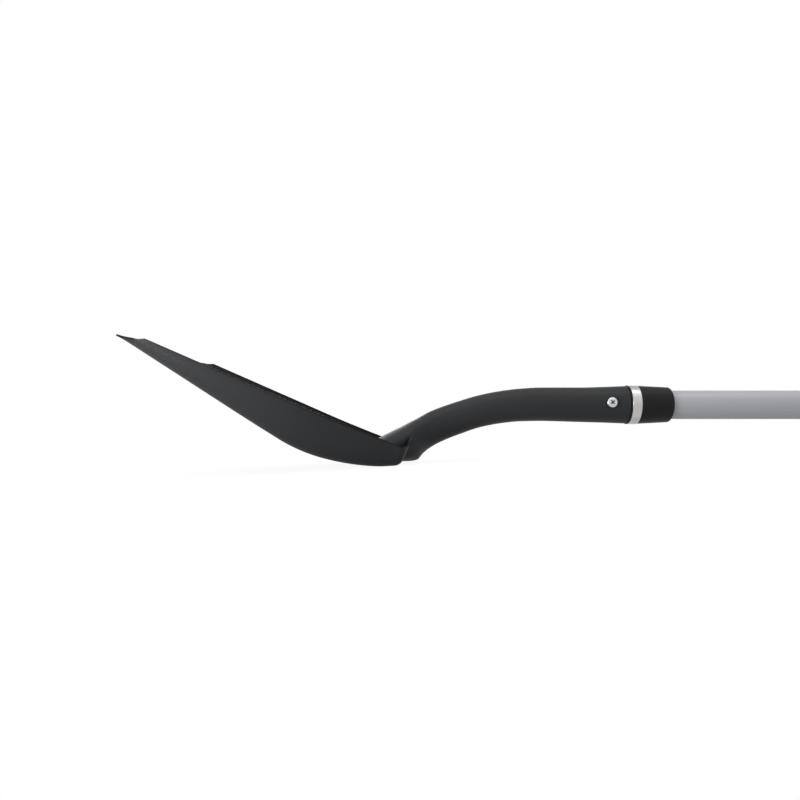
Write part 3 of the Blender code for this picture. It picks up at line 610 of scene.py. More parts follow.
@dataclass
class FloorLine:
    """The lengthwise line of the pan's underside: straights and arcs from the heel to the leading edge.

    Each stretch is (length, angle at its start, angle at its end), with angles from the shaft's axis.
    The rises, in degrees, are the angles at the ends of the stretches that turn.
    """

    lay: float
    heel_flat: float = 0.0108
    turn_radius: float = 0.060
    rear_radius: float = 0.237
    middle_radius: float = 0.160
    ease_length: float = 0.060
    blade_length: float = 0.1177
    rises: tuple[float, ...] = (1.95, 15.95, 32.7, 33.75)

    def __post_init__(self) -> None:
        """Lays the stretches out."""
        turn_end, rear_end, middle_end, rise = (math.radians(v) for v in self.rises)
        self.stretches = (
            (self.heel_flat, -self.lay, -self.lay),
            (self.turn_radius * (turn_end + self.lay), -self.lay, turn_end),
            (self.rear_radius * (rear_end - turn_end), turn_end, rear_end),
            (self.middle_radius * (middle_end - rear_end), rear_end, middle_end),
            (self.ease_length, middle_end, rise),
            (self.blade_length, rise, rise),
        )
        self.length = sum(stretch[0] for stretch in self.stretches)

    def at(self, forward: Array) -> tuple[Array, Array, Array]:
        """Points of the line.

        A stretch adds its chord: the sine and cosine of its angle, summed along an arc or a straight.

        Args:
            forward: distances from the heel's rear edge. Negative ones go straight back.

        Returns:
            x, z and the angle of rise at each.
        """
        forward = np.asarray(forward, float)
        back = np.minimum(forward, 0.0)
        x = -SIZES.neck_length - back * math.cos(-self.lay)
        z = -SIZES.heel_drop + back * math.sin(-self.lay)
        angle = np.full_like(forward, -self.lay)
        start = 0.0
        for length, first, last in self.stretches:
            part = np.clip(forward - start, 0.0, length)
            turn = first + (last - first) * part / length
            if abs(last - first) < MERGE:
                x = x - part * math.cos(first)
                z = z + part * math.sin(first)
            else:
                radius = length / (last - first)
                x = x - radius * (np.sin(turn) - math.sin(first))
                z = z + radius * (math.cos(first) - np.cos(turn))
            angle = np.where(forward > start, turn, angle)
            start += length
        return x, z, angle

    def over(self, forward: Array, height: Array | float) -> tuple[Array, Array]:
        """Points (x, z) at a height over the line, square to it."""
        x, z, angle = self.at(forward)
        return x + height * np.sin(angle), z + height * np.cos(angle)

    def level(self, x: Array, height: float) -> Array:
        """Height z of a surface at each x, read between the points of the line raised to it.

        Args:
            x: places along the shaft.
            height: how far the surface lies over the line, square to it.

        Returns:
            z at each.
        """
        forwards = np.linspace(-0.03, self.length, 600)
        line_x, line_z = self.over(forwards, height)
        return np.interp(-x, -line_x, line_z)


# ---- Finishes ----


@dataclass(frozen=True)
class Coat:
    """What a surface is made of: a colour and a roughness, and what each kind of it adds."""

    colour: Triple
    roughness: float

    def make(self, name: str, frame: ShaftFrame) -> bpy.types.Material:
        """Makes the material.

        Args:
            name: the material's name.
            frame: where the shaft's frame lies.

        Returns:
            The material.
        """
        recipe = Recipe(name)
        inputs = self.inputs(recipe, recipe.place(frame))
        return recipe.close(recipe.node("ShaderNodeBsdfPrincipled", inputs))

    def inputs(self, recipe: Recipe, where: Signal) -> dict[str, Any]:
        """What goes into the shader.

        Args:
            recipe: the material being made.
            where: the place in the shaft's frame.

        Returns:
            A value or a Signal for each socket.
        """
        raise NotImplementedError

    def tint(self, factor: float) -> Triple:
        """The colour, made darker or lighter by a factor."""
        return tuple(factor * c for c in self.colour)


@dataclass(frozen=True)
class SatinPaint(Coat):
    """Powder coat: dark, faintly blue, with the slight ripple and grain of a baked coat.

    An attribute named edge, from 0 to 1, marks the sheet's rim, where the colour is drawn near black as
    painted shade along the rim.
    """

    specular: float = 0.5

    def inputs(self, recipe: Recipe, where: Signal) -> dict[str, Any]:
        """Colour and roughness drift with a broad and a fine noise, over a rippled height.

        Args:
            recipe: the material being made.
            where: the place in the shaft's frame.

        Returns:
            A value or a Signal for each socket.
        """
        drift = recipe.noise(where, 24.0, 3.0)
        ripple = recipe.noise(where, 620.0)
        grain = recipe.noise(where, 3400.0, 2.0, 0.7)
        # Painted shade: the rim marked by the edge attribute is drawn near black.
        edge = recipe.node("ShaderNodeAttribute", output="Fac", attribute_name="edge")
        share = (drift * 0.10 + grain * 0.05 + 0.54) * (1.0 - edge)
        return {
            "Base Color": recipe.blend(share, self.tint(0.2), self.tint(1.5)),
            "Roughness": self.roughness + (drift - 0.5) * 0.08 + (grain - 0.5) * 0.06,
            "Specular IOR Level": self.specular,
            "Normal": recipe.bump(ripple * 0.85 + grain * 0.15, 0.15, 0.00003),
        }


@dataclass(frozen=True)
class Moulded(Coat):
    """Moulded plastic or rubber: one dark colour with a fine pebbled grain."""

    grain_scale: float
    depth: float
    specular: float = 0.5

    def inputs(self, recipe: Recipe, where: Signal) -> dict[str, Any]:
        """The grain is raised pebbles, and a cloud varies the colour and the roughness.

        Args:
            recipe: the material being made.
            where: the place in the shaft's frame.

        Returns:
            A value or a Signal for each socket.
        """
        cells = {"Vector": where, "Scale": self.grain_scale, "Smoothness": 0.6}
        pebbles = recipe.node("ShaderNodeTexVoronoi", cells, "Distance", feature="SMOOTH_F1")
        cloud = recipe.noise(where, 60.0, 3.0)
        return {
            "Base Color": recipe.blend(cloud, self.tint(0.85), self.tint(1.15)),
            "Roughness": self.roughness + (cloud - 0.5) * 0.10,
            "Specular IOR Level": self.specular,
            "Normal": recipe.bump(1.0 - pebbles, 0.5, self.depth),
        }


@dataclass(frozen=True)
class TurnedMetal(Coat):
    """Bright metal brushed round the shaft: fine lines that run round it, and soft bands across them,
    partly the metal's tone and partly painted reflection.
    """

    def inputs(self, recipe: Recipe, where: Signal) -> dict[str, Any]:
        """The lines are noise drawn out round the shaft, and the bands noise drawn out along it, which
        lighten and darken the colour as tone and as painted reflection.

        Args:
            recipe: the material being made.
            where: the place in the shaft's frame.

        Returns:
            A value or a Signal for each socket.
        """
        lines = recipe.streaks(where, 3600.0, 60.0, 3.0, 0.6)
        # Partly painted reflection: these bands lighten and darken the colour like reflected lamps, and
        # partly the metal's own tone.
        tone_and_reflection_bands = recipe.streaks(where, 20.0, 130.0, 2.0, 0.5)
        return {
            "Base Color": recipe.blend(tone_and_reflection_bands * 0.75 + lines * 0.25, self.tint(0.60), self.colour),
            "Metallic": 1.0,
            "Roughness": self.roughness + (lines - 0.5) * 0.16 + (tone_and_reflection_bands - 0.5) * 0.14,
            "Normal": recipe.bump(lines, 0.25, 0.00004),
        }


@dataclass(frozen=True)
class SilverCoat(Coat):
    """Silver grey coat of the tube: fine satin with faint lines drawn along the shaft."""

    metallic: float

    def inputs(self, recipe: Recipe, where: Signal) -> dict[str, Any]:
        """Drawn lines and a fine sparkle vary the colour, the roughness and the height.

        Args:
            recipe: the material being made.
            where: the place in the shaft's frame.

        Returns:
            A value or a Signal for each socket.
        """
        lines = recipe.streaks(where, 14.0, 900.0, 3.0, 0.55)
        sparkle = recipe.noise(where, 5200.0, 1.0)
        return {
            "Base Color": recipe.blend(lines * 0.6 + sparkle * 0.4, self.tint(0.94), self.tint(1.05)),
            "Metallic": self.metallic,
            "Roughness": self.roughness + (sparkle - 0.5) * 0.12,
            "Normal": recipe.bump(lines * 0.8 + sparkle * 0.2, 0.18, 0.00004),
        }


@dataclass(frozen=True)
class BrightZinc(Coat):
    """Bright zinc on the screws: pale, with a faint blue and a fine mottle, and painted shade in the
    recess.
    """

    def inputs(self, recipe: Recipe, where: Signal) -> dict[str, Any]:
        """A mottle varies everything, and an attribute named recess, from 0 to 1, paints shade into the
        cross.

        Args:
            recipe: the material being made.
            where: the place in the shaft's frame.

        Returns:
            A value or a Signal for each socket.
        """
        mottle = recipe.noise(where, 1500.0, 3.0)
        # Painted shade: the cross is drawn near black by how deep it lies.
        recess = recipe.node("ShaderNodeAttribute", output="Fac", attribute_name="recess")
        share = (mottle * -0.2 + 1.0) * (1.0 - recess)
        return {
            "Base Color": recipe.blend(share, self.tint(0.05), self.colour),
            "Metallic": 1.0,
            "Roughness": self.roughness + (mottle - 0.5) * 0.12 + recess * 0.3,
            "Normal": recipe.bump(mottle, 0.15, 0.00003),
        }


@dataclass(frozen=True)
class RawWood(Coat):
    """Raw wood of the plug: grain along the shaft."""

    dark: Triple

    def inputs(self, recipe: Recipe, where: Signal) -> dict[str, Any]:
        """The grain is noise drawn out along the shaft, from the dark colour to the pale one.

        Args:
            recipe: the material being made.
            where: the place in the shaft's frame.

        Returns:
            A value or a Signal for each socket.
        """
        grain = recipe.streaks(where, 25.0, 500.0, 4.0, 0.6)
        return {
            "Base Color": recipe.blend(grain, self.dark, self.colour),
            "Roughness": self.roughness + grain * 0.15,
            "Normal": recipe.bump(grain, 0.3, 0.0001),
        }


class Finish(Enum):
    """The shovel's finishes, each with the record's material slot as its value."""

    PAN = "pan_paint"
    NECK = "neck_paint"
    SEAL = "seal_rubber"
    RING = "ring_metal"
    COLLAR = "collar_plastic"
    TUBE = "tube_paint"
    WOOD = "plug_wood"
    ZINC = "screw_zinc"
    GRIP = "grip_plastic"
    SLEEVE = "sleeve_rubber"


RECIPES: dict[Finish, Coat] = {
    # The pan and the neck wear one paint: the pan's copy is drawn darker and the neck's lighter, as
    # painted shade and painted light.
    Finish.PAN: SatinPaint((0.026, 0.0278, 0.0310), 0.44, 0.19),
    Finish.NECK: SatinPaint((0.034, 0.0360, 0.0392), 0.44, 0.19),
    Finish.SEAL: Moulded((0.010, 0.010, 0.0105), 0.60, 1900.0, 0.00005),
    Finish.RING: TurnedMetal((0.93, 0.92, 0.91), 0.32),
    Finish.COLLAR: Moulded((0.0105, 0.0108, 0.0115), 0.42, 2600.0, 0.00003, 0.22),
    Finish.TUBE: SilverCoat((0.52, 0.53, 0.555), 0.46, 0.25),
    Finish.WOOD: RawWood((0.56, 0.40, 0.24), 0.62, (0.38, 0.24, 0.13)),
    Finish.ZINC: BrightZinc((0.93, 0.94, 0.95), 0.24),
    Finish.GRIP: Moulded((0.0115, 0.0117, 0.0122), 0.48, 1700.0, 0.00006, 0.30),
    Finish.SLEEVE: Moulded((0.014, 0.014, 0.0145), 0.66, 1400.0, 0.00008),
}


@dataclass
class Workshop:
    """What every sub-assembly needs: the frame, the finishes, and how a piece is signed off."""

    frame: ShaftFrame
    floor: FloorLine
    materials: dict[Finish, bpy.types.Material] = field(default_factory=dict)

    def mix_finishes(self) -> None:
        """Makes every finish once."""
        for finish, recipe in RECIPES.items():
            self.materials[finish] = recipe.make(finish.value, self.frame)

    def sign_off(self, piece: bpy.types.Object, finish: Finish, *nodes: str) -> None:
        """Gives a piece its material, its body and the nodes that it stands for.

        Args:
            piece: the finished object.
            finish: what it is made of.
            nodes: the solids that it replaces.
        """
        piece.data.materials.clear()
        piece.data.materials.append(self.materials[finish])
        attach(piece, BODY)
        if nodes:
            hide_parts(*nodes)
        log.info("%s: %d faces, %s", piece.name, len(piece.data.polygons), finish.value)

    def turn(
        self,
        name: str,
        outline: Array,
        axis: Axis,
        steps: int,
        finish: Finish,
        *nodes: str,
        sharp_degrees: float = 40.0,
    ) -> None:
        """Makes a piece by turning a closed outline round an axis, and signs it off.

        Args:
            name: the piece's name.
            outline: points (radius, height) of the outline, shape (n, 2).
            axis: the line it goes round.
            steps: columns round the axis.
            finish: what it is made of.
            nodes: the solids that it replaces.
            sharp_degrees: edges over this angle keep a crisp shade.
        """
        patch = Patch(self.frame.lift(axis.turned(outline, steps)), round_rows=True, round_columns=True)
        self.sign_off(make_piece(name, [patch], sharp_degrees), finish, *nodes)


# ---- Sub-assemblies ----


@dataclass
class Pan:
    """The pressed pan: a dished floor, flared sides, and a rear wall that the neck passes through."""

    shop: Workshop
    leading_half: float = 0.11848
    leading_corner: float = 0.005
    rear_half: float = 0.0665
    root_radius: float = 0.014
    rear_root_radius: float = 0.0108
    flare: float = math.radians(15.0)
    bow: float = math.radians(15.0)
    rear_lean: float = math.radians(25.1)
    rear_bow: float = math.radians(2.0)
    corner_power: float = 0.62
    ramp: float = 0.025
    ramp_power: float = 1.5
    front_height: float = 0.0130
    heel_height: float = 0.0258
    heel_lift: float = 0.0029
    heel_reach: float = 0.106
    rear_rim: tuple[tuple[float, float], ...] = (
        (0.09, 0.0202),
        (0.27, 0.0191),
        (0.47, 0.0185),
        (0.66, 0.0188),
        (0.82, 0.0189),
        (1.00, 0.0241),
        (1.20, 0.0277),
        (2.00, 0.0284),
    )
    edge_round: float = 0.00072
    edge_angle: float = math.radians(55.0)
    wall_steps: int = 22
    floor_steps: int = 16
    length_steps: int = 96
    ramp_steps: int = 14
    corner_steps: int = 9
    rear_steps: int = 22

    @property
    def front_half(self) -> float:
        """Half width of the flat floor at the leading edge."""
        return self.leading_half - self.root_radius * math.cos(self.flare + self.bow)

    def floor_half(self, forward: Array) -> Array:
        """Half width of the flat floor: a straight taper from the leading edge to the heel."""
        return self.rear_half + (self.front_half - self.rear_half) * forward / self.shop.floor.length

    def rim_height(self, forward: Array) -> Array:
        """Height of the side's rim over the floor: a ramp, a straight line, and a lift to the heel.

        The line joins two points in space, so its height over the floor is how far it lies from it,
        square to the floor. The ramp goes up as a power of the distance from the leading edge.

        Args:
            forward: distances from the heel's rear edge.

        Returns:
            The height at each.
        """
        floor = self.shop.floor
        ramp_end = floor.length - self.ramp
        front_x, front_z = floor.over(np.array([ramp_end]), self.front_height)
        heel_x, heel_z = floor.over(np.array([floor.heel_flat]), self.heel_height)
        slope = (front_z - heel_z) / (front_x - heel_x)
        x, z, angle = floor.at(forward)
        line = (heel_z + slope * (x - heel_x) - z) / (np.cos(angle) - slope * np.sin(angle))
        line = line + self.heel_lift * np.maximum(1.0 - forward / self.heel_reach, 0.0) ** 2
        share = np.clip((floor.length - forward) / self.ramp, 0.0, 1.0)
        return np.where(forward >= ramp_end, self.front_height * share**self.ramp_power, line)

    def wall(self, height: Array, radius: float, lean: float, bow: float) -> tuple[Array, Array]:
        """Profiles of a wall, evenly along them: an arc off the floor, then a flat bow up to the rim.

        The bow is a shallow arc: it leaves the first arc leaning out by the lean and the bow, and
        reaches the rim leaning out by the lean less the bow. A wall lower than the first arc keeps
        that arc's reach and opens its radius.

        Args:
            height: the rim's height at each station.
            radius: the arc's radius.
            lean: how far the wall leans out from its root to its rim, in radians.
            bow: how far the wall's direction turns to each side of that lean, in radians.

        Returns:
            How far out and how far up each point is, each of shape (stations, steps + 1).
        """
        share = np.linspace(0.0, 1.0, self.wall_steps + 1)[None, :]
        rise = np.maximum(height, MERGE)[:, None]
        reach = radius * math.cos(lean + bow)
        knee = radius * (1 - math.sin(lean + bow))
        wide = (reach**2 + rise**2) / (2 * rise)
        low_turn = 2 * np.arctan2(rise, reach) * share
        arc = radius * (math.pi / 2 - lean - bow)
        chord = np.maximum(rise - knee, MERGE) / math.cos(lean)
        along = (arc + chord) * share
        turn = np.minimum(along, arc) / radius
        heading = bow * (1 - 2 * np.maximum(along - arc, 0.0) / chord)
        travel = chord * (math.sin(bow) - np.sin(heading)) / (2 * math.sin(bow))
        swell = chord * (np.cos(heading) - math.cos(bow)) / (2 * math.sin(bow))
        high_out = radius * np.sin(turn) + travel * math.sin(lean) + swell * math.cos(lean)
        high_up = radius * (1 - np.cos(turn)) + travel * math.cos(lean) - swell * math.sin(lean)
        low = rise <= knee
        out = np.where(low, wide * np.sin(low_turn), high_out)
        up = np.where(low, wide * (1 - np.cos(low_turn)), high_up)
        return out, up

    def stations(self) -> Array:
        """Where the cross sections are: even, closer on the ramp, and closest round the front corner.

        Returns:
            Distances forward of the heel's rear edge.
        """
        floor = self.shop.floor
        even = np.linspace(0.0, floor.length - self.ramp, self.length_steps)
        ramp = np.linspace(even[-1], floor.length - self.leading_corner, self.ramp_steps)[1:]
        turn = np.linspace(0.0, math.pi / 2, self.corner_steps)[1:]
        corner = floor.length - self.leading_corner * (1 - np.sin(turn))
        return np.concatenate([even, ramp, corner])

    def body_grid(self) -> Array:
        """Cross sections from rim to rim: a flat floor, and a wall on each side.

        Near the leading edge each section is made narrower, by how far a quarter circle of the
        corner's radius lies inside the side there, which rounds the pan's two front corners.

        Returns:
            Points in the shaft's frame, shape (stations, columns, 3).
        """
        floor = self.shop.floor
        forward = self.stations()
        half = self.floor_half(forward)
        out, up = self.wall(self.rim_height(forward), self.root_radius, self.flare, self.bow)
        back = floor.length - forward
        rounded = np.sqrt(np.maximum(self.leading_corner**2 - (self.leading_corner - back) ** 2, 0.0))
        inset = np.where(back < self.leading_corner, self.leading_corner - rounded, 0.0)
        edge = half + out[:, -1]
        shrink = ((edge - inset) / edge)[:, None]
        inner = half[:, None] * np.linspace(0.0, 1.0, self.floor_steps + 1)[None, :-1]
        y = np.concatenate([inner, half[:, None] + out], axis=1) * shrink
        z = np.concatenate([np.zeros_like(inner), up], axis=1)
        across = np.concatenate([-y[:, :0:-1], y], axis=1)
        height = np.concatenate([z[:, :0:-1], z], axis=1)
        return self.raised(np.broadcast_to(forward[:, None], across.shape), across, height)

    def raised(self, forward: Array, across: Array, height: Array) -> Array:
        """Points from distances along the floor, across it and over it, in the shaft's frame."""
        x, z = self.shop.floor.over(forward, height)
        return np.stack([x, across, z], axis=-1)

    def rear_grid(self) -> Array:
        """The rear wall: round the near corner, along the back and round the far corner.

        Round a corner the side wall's reach goes by a power of the cosine of the turn and the rear
        wall's by the same power of its sine, and their heights blend by its sine squared.

        Returns:
            Points in the shaft's frame, shape (stations, columns, 3).
        """
        heel = np.zeros(1)
        turn = np.linspace(0.0, math.pi / 2, self.rear_steps + 1)
        back = np.linspace(0.0, 1.0, self.floor_steps + 1)[1:]
        along = np.concatenate([turn / (math.pi / 2), 1 + back])
        knots = np.array([(0.0, self.rim_height(heel)[0]), *self.rear_rim])
        height = flow(knots[:, 0], knots[:, 1:], along)[:, 0]
        side_out, side_up = self.wall(height, self.root_radius, self.flare, self.bow)
        back_out, back_up = self.wall(height, self.rear_root_radius, self.rear_lean, self.rear_bow)
        turn = np.concatenate([turn, np.full(back.size, math.pi / 2)])[:, None]
        sine, cosine = np.sin(turn), np.where(turn < math.pi / 2, np.cos(turn), 0.0)
        half = self.floor_half(heel)
        foot = half * np.concatenate([np.ones(self.rear_steps + 1), 1 - back])
        forward = -back_out * sine**self.corner_power
        across = foot[:, None] + side_out * cosine**self.corner_power
        up = side_up + (back_up - side_up) * sine**2
        forward = np.concatenate([forward, forward[-2::-1]])
        across = np.concatenate([-across, across[-2::-1]])
        up = np.concatenate([up, up[-2::-1]])
        return self.raised(forward, across, up)

    def build(self) -> None:
        """Makes the pan: both grids merged, given the sheet's thickness, its edges rounded."""
        patches = [Patch(self.shop.frame.lift(grid)) for grid in (self.body_grid(), self.rear_grid())]
        pan = make_piece("pan_pressing", patches, sharp_degrees=60.0)
        self.face_down(pan.data)
        self.mark_rim_shade(pan.data)
        modify(pan, "SOLIDIFY", thickness=SIZES.sheet, offset=-1.0)
        crisp = {"limit_method": "ANGLE", "angle_limit": self.edge_angle}
        modify(pan, "BEVEL", width=self.edge_round, segments=4, **crisp)
        self.shop.sign_off(pan, Finish.PAN, "pan")

    @staticmethod
    def mark_rim_shade(mesh: bpy.types.Mesh) -> None:
        """Writes 1 on the open sheet's border, where an edge has one face, and 0 elsewhere.

        Args:
            mesh: the pan's sheet, before it has a thickness.
        """
        # These marks carry the paint's painted shade along the rim.
        sides = np.empty(len(mesh.loops), dtype=np.int32)
        mesh.loops.foreach_get("edge_index", sides)
        ends = np.empty(len(mesh.edges) * 2, dtype=np.int32)
        mesh.edges.foreach_get("vertices", ends)
        border = np.bincount(sides, minlength=len(mesh.edges)) == 1
        marks = np.zeros(len(mesh.vertices), dtype=np.float32)
        marks[ends.reshape(-1, 2)[border].ravel()] = 1.0
        mesh.attributes.new("edge", "FLOAT", "POINT").data.foreach_set("value", marks)

    @staticmethod
    def face_down(mesh: bpy.types.Mesh) -> None:
        """Turns the underside's faces down, so that the thickness goes up into the pan.

        Args:
            mesh: the pan's sheet, before it has a thickness.
        """
        with editing(mesh) as shape:
            shape.normal_update()
            if sum(face.normal.z * face.calc_area() for face in shape.faces) > 0:
                bmesh.ops.reverse_faces(shape, faces=shape.faces)


@dataclass
class Neck:
    """The swan neck: a tube that swings down to the heel and spreads into a tongue on the floor.

    A station is its place as a share of the neck's length, how far its radius has closed in on the
    tube, how far it is measured from the heel, what its top, bottom and half width add as shares of
    the heel's drop, the height share of its widest line, and the exponent of its superellipse.
    """

    shop: Workshop
    stations: tuple[tuple[float, ...], ...] = (
        (0.000, 0.00, 0.00, 0.000, 0.000, 0.000, 0.50, 2.00),
        (0.110, 0.39, 0.00, 0.000, 0.000, 0.000, 0.50, 2.00),
        (0.195, 0.60, 0.00, 0.000, 0.000, 0.000, 0.50, 2.00),
        (0.285, 0.78, 0.00, 0.008, 0.004, 0.000, 0.50, 2.00),
        (0.369, 0.92, 0.00, 0.013, 0.006, 0.000, 0.50, 2.02),
        (0.459, 1.00, 0.00, -0.003, -0.005, 0.000, 0.50, 2.05),
        (0.543, 1.00, 0.15, 0.148, 0.069, 0.031, 0.50, 2.10),
        (0.630, 1.00, 0.40, 0.402, 0.181, 0.102, 0.50, 2.15),
        (0.717, 1.00, 0.65, 0.622, 0.245, 0.175, 0.50, 2.20),
        (0.803, 1.00, 0.85, 0.763, 0.250, 0.251, 0.48, 2.30),
        (0.853, 1.00, 1.00, 0.874, 0.245, 0.338, 0.42, 2.45),
        (0.880, 1.00, 1.00, 0.815, 0.156, 0.415, 0.38, 2.60),
        (0.902, 1.00, 1.00, 0.766, 0.058, 0.508, 0.35, 2.70),
        (0.931, 1.00, 1.00, 0.708, 0.037, 0.631, 0.31, 2.80),
        (0.961, 1.00, 1.00, 0.642, 0.034, 0.731, 0.28, 2.80),
        (1.000, 1.00, 1.00, 0.568, 0.031, 0.812, 0.25, 2.70),
    )
    tongue: tuple[tuple[float, ...], ...] = (
        (0.00, 0.568, 0.812, 0.25, 2.70),
        (0.20, 0.480, 0.862, 0.22, 2.60),
        (0.40, 0.377, 0.877, 0.20, 2.50),
        (0.60, 0.265, 0.808, 0.20, 2.40),
        (0.80, 0.166, 0.654, 0.20, 2.30),
        (0.94, 0.102, 0.446, 0.20, 2.20),
        (1.00, 0.077, 0.292, 0.20, 2.20),
    )
    sides: int = 96
    tongue_steps: int = 48
    neck_steps: int = 150
    lip: float = 0.0006
    bore: tuple[float, ...] = (-0.024, -0.048, -0.074)
    nose_start: float = 0.93
    nose_narrow: float = 0.35

    def section(self, x: Array) -> Array:
        """Sections of the neck: its radius, with what each station adds as a share of the heel's drop.

        Args:
            x: places along the shaft, from the mouth to the heel.

        Returns:
            Top, bottom, half width, belly and squareness at each, shape (n, 5).
        """
        at, waist, heel, crown, sole, flank, belly, square = np.array(self.stations).T
        radius = (SIZES.mouth_radius + (SIZES.waist_radius - SIZES.mouth_radius) * waist) * (1 - heel)
        top = radius + SIZES.heel_drop * (crown - heel)
        bottom = SIZES.heel_drop * (sole - heel) - radius
        half = radius + SIZES.heel_drop * flank
        return flow(at, np.stack([top, bottom, half, belly, square], axis=-1), -x / SIZES.neck_length)

    def tongue_section(self, x: Array) -> Array:
        """Sections of the tongue, whose bottom lies inside the sheet and whose tip is rounded.

        Over the tip, height and width close in by a quarter circle: the root of 1 less the share squared.

        Args:
            x: places along the shaft, from the heel to the tip.

        Returns:
            Top, bottom, half width, belly and squareness at each, shape (n, 5).
        """
        table = np.array(self.tongue)
        at = (-x - SIZES.neck_length) / SIZES.tongue_length
        height, flank, belly, square = flow(table[:, 0], table[:, 1:], at).T
        height, flank = SIZES.heel_drop * height, SIZES.heel_drop * flank
        past = np.clip((at - self.nose_start) / (1 - self.nose_start), 0.0, 1.0)
        nose = np.sqrt(1 - past**2)
        flank = flank * (self.nose_narrow + (1 - self.nose_narrow) * nose)
        bed = self.shop.floor.level(x, SIZES.sheet * 0.5)
        top = self.shop.floor.level(x, 0.0) + SIZES.sheet + (height - SIZES.sheet) * nose
        return np.stack([top, bed, flank, belly, square], axis=-1)

    def build(self) -> None:
        """Makes the neck: rings from the tongue's tip to the mouth, a lip, and the bore inside."""
        tip = -SIZES.neck_length - SIZES.tongue_length
        tongue_x = tip + SIZES.tongue_length * ease(np.linspace(0.0, 0.5, self.tongue_steps)) * 2
        neck_x = np.linspace(-SIZES.neck_length, 0.0, self.neck_steps)[1:]
        sections = [self.tongue_section(tongue_x), self.section(neck_x)]
        top, bottom, half, belly, square = np.concatenate(sections).T
        outside = superellipse(half, top, bottom, belly, square, self.sides)
        outside_x = np.minimum(np.concatenate([tongue_x, neck_x]), -self.lip)
        bore_x = np.array([0.0, 0.0, -self.lip, *self.bore])
        mouth = [SIZES.mouth_radius - self.lip, SIZES.mouth_radius - SIZES.neck_wall + self.lip]
        radii = np.concatenate([mouth, self.section(bore_x[2:])[:, 2] - SIZES.neck_wall])
        turn = TAU * (np.arange(self.sides) + 0.5) / self.sides
        inside = radii[:, None, None] * np.stack([np.cos(turn), np.sin(turn)], axis=-1)[None]
        rings = np.concatenate([outside, inside])
        along = np.concatenate([outside_x, bore_x])[:, None, None]
        grid = np.concatenate([np.broadcast_to(along, rings.shape[:2] + (1,)), rings], axis=-1)
        patch = Patch(self.shop.frame.lift(grid), round_columns=True, first_cap=True, last_cap=True)
        self.shop.sign_off(make_piece("neck_forming", [patch]), Finish.NECK, "neck")


@dataclass
class Mouth:
    """What sits at the neck's mouth: the seal, the bright ring and the collar."""

    shop: Workshop
    seal_thickness: float = 0.0010
    seal_lip: float = 0.0007
    ring_width: float = 0.01015
    ring_lip: float = 0.0007
    collar_length: float = 0.0365
    collar_taper: float = 0.0017
    collar_nose: float = 0.0024
    collar_edge: float = 0.0009
    collar_lip: float = 0.0003
    nose_power: float = 1.4
    nose_steps: int = 14
    foot_break: float = 0.0004
    steps: int = 144

    def build(self) -> None:
        """Makes the three pieces in their order up the shaft, a gap before each."""
        seal_x = SIZES.gap
        ring_x = seal_x + self.seal_thickness + SIZES.gap
        collar_x = ring_x + self.ring_width + SIZES.gap
        self.build_ring("mouth_seal", seal_x, self.seal_thickness, self.seal_lip, 0.0006, Finish.SEAL)
        self.build_ring("ferrule_ring", ring_x, self.ring_width, self.ring_lip, 0.0007, Finish.RING)
        self.build_collar(collar_x)

    def build_ring(
        self, name: str, x: float, width: float, lip: float, rounding: float, finish: Finish
    ) -> None:
        """Makes a ring that stands a lip proud of the neck's mouth.

        Args:
            name: the solid it replaces.
            x: its foot, along the shaft.
            width: its width along the shaft.
            lip: how far it stands out over the mouth.
            rounding: the reach of its rounded corners.
            finish: what it is made of.
        """
        bore, outer = SIZES.spigot_radius + SIZES.gap, SIZES.mouth_radius + lip
        outline = ring_outline(bore, outer, width, rounding)
        self.shop.turn(f"{name}_turned", outline, Axis.up_shaft(x), self.steps, finish, name)

    def build_collar(self, foot: float) -> None:
        """Makes the collar: a tapered sleeve with an eased nose, and the spigot inside the neck.

        The nose follows a quarter of a superellipse, and the spigot keeps a gap to the neck's bore.

        Args:
            foot: where the collar's shoulder stands, along the shaft.
        """
        inner = SIZES.tube_radius + SIZES.gap
        shoulder = SIZES.mouth_radius + self.collar_lip
        nose_radius = shoulder - self.collar_taper
        drop = nose_radius - inner - self.collar_edge
        turn = np.linspace(math.pi / 2, 0.0, self.nose_steps)
        radius = nose_radius - drop * (1 - np.maximum(np.cos(turn), 0.0) ** self.nose_power)
        height = self.collar_length - self.collar_nose * (1 - np.sin(turn) ** self.nose_power)
        nose = np.stack([radius, height], axis=-1)
        depth = np.linspace(0.0, -SIZES.spigot_length, 5)
        neck = Neck(self.shop).section(depth)
        spigot = np.minimum(neck[:, 0], neck[:, 2]) - SIZES.neck_wall - SIZES.gap
        tapered = self.collar_length - self.collar_nose
        straight = np.linspace(0.0, tapered, 6)[4:0:-1]
        sleeve_radius = shoulder - self.collar_taper * straight / tapered
        broken = self.foot_break
        outline = np.concatenate(
            [
                [[inner, self.collar_length]],
                nose,
                np.stack([sleeve_radius, straight], axis=-1),
                [[shoulder, broken], [shoulder - broken, 0.0], [SIZES.spigot_radius, 0.0]],
                np.stack([spigot, depth - foot], axis=-1),
                [[inner, -foot - SIZES.spigot_length]],
            ]
        )
        axis = Axis.up_shaft(foot)
        self.shop.turn("collar_moulding", outline, axis, self.steps, Finish.COLLAR, "collar")


@dataclass
class Shaft:
    """The silver tube, and the wood plug inside it that keeps its node."""

    shop: Workshop
    nodes: dict[str, bpy.types.Object]
    rounding: float = 0.0004
    steps: int = 128

    def build(self) -> None:
        """Makes the tube and dresses the plug."""
        inner = SIZES.tube_radius - SIZES.tube_wall
        outline = ring_outline(inner, SIZES.tube_radius, SIZES.tube_length, self.rounding)
        axis = Axis.up_shaft(-SIZES.tube_insert)
        self.shop.turn("tube_drawn", outline, axis, self.steps, Finish.TUBE, "shaft_tube")
        for slot in self.nodes["shaft_plug"].material_slots:
            slot.material = self.shop.materials[Finish.WOOD]
        log.info("shaft_plug: keeps its node, %s", Finish.WOOD.value)


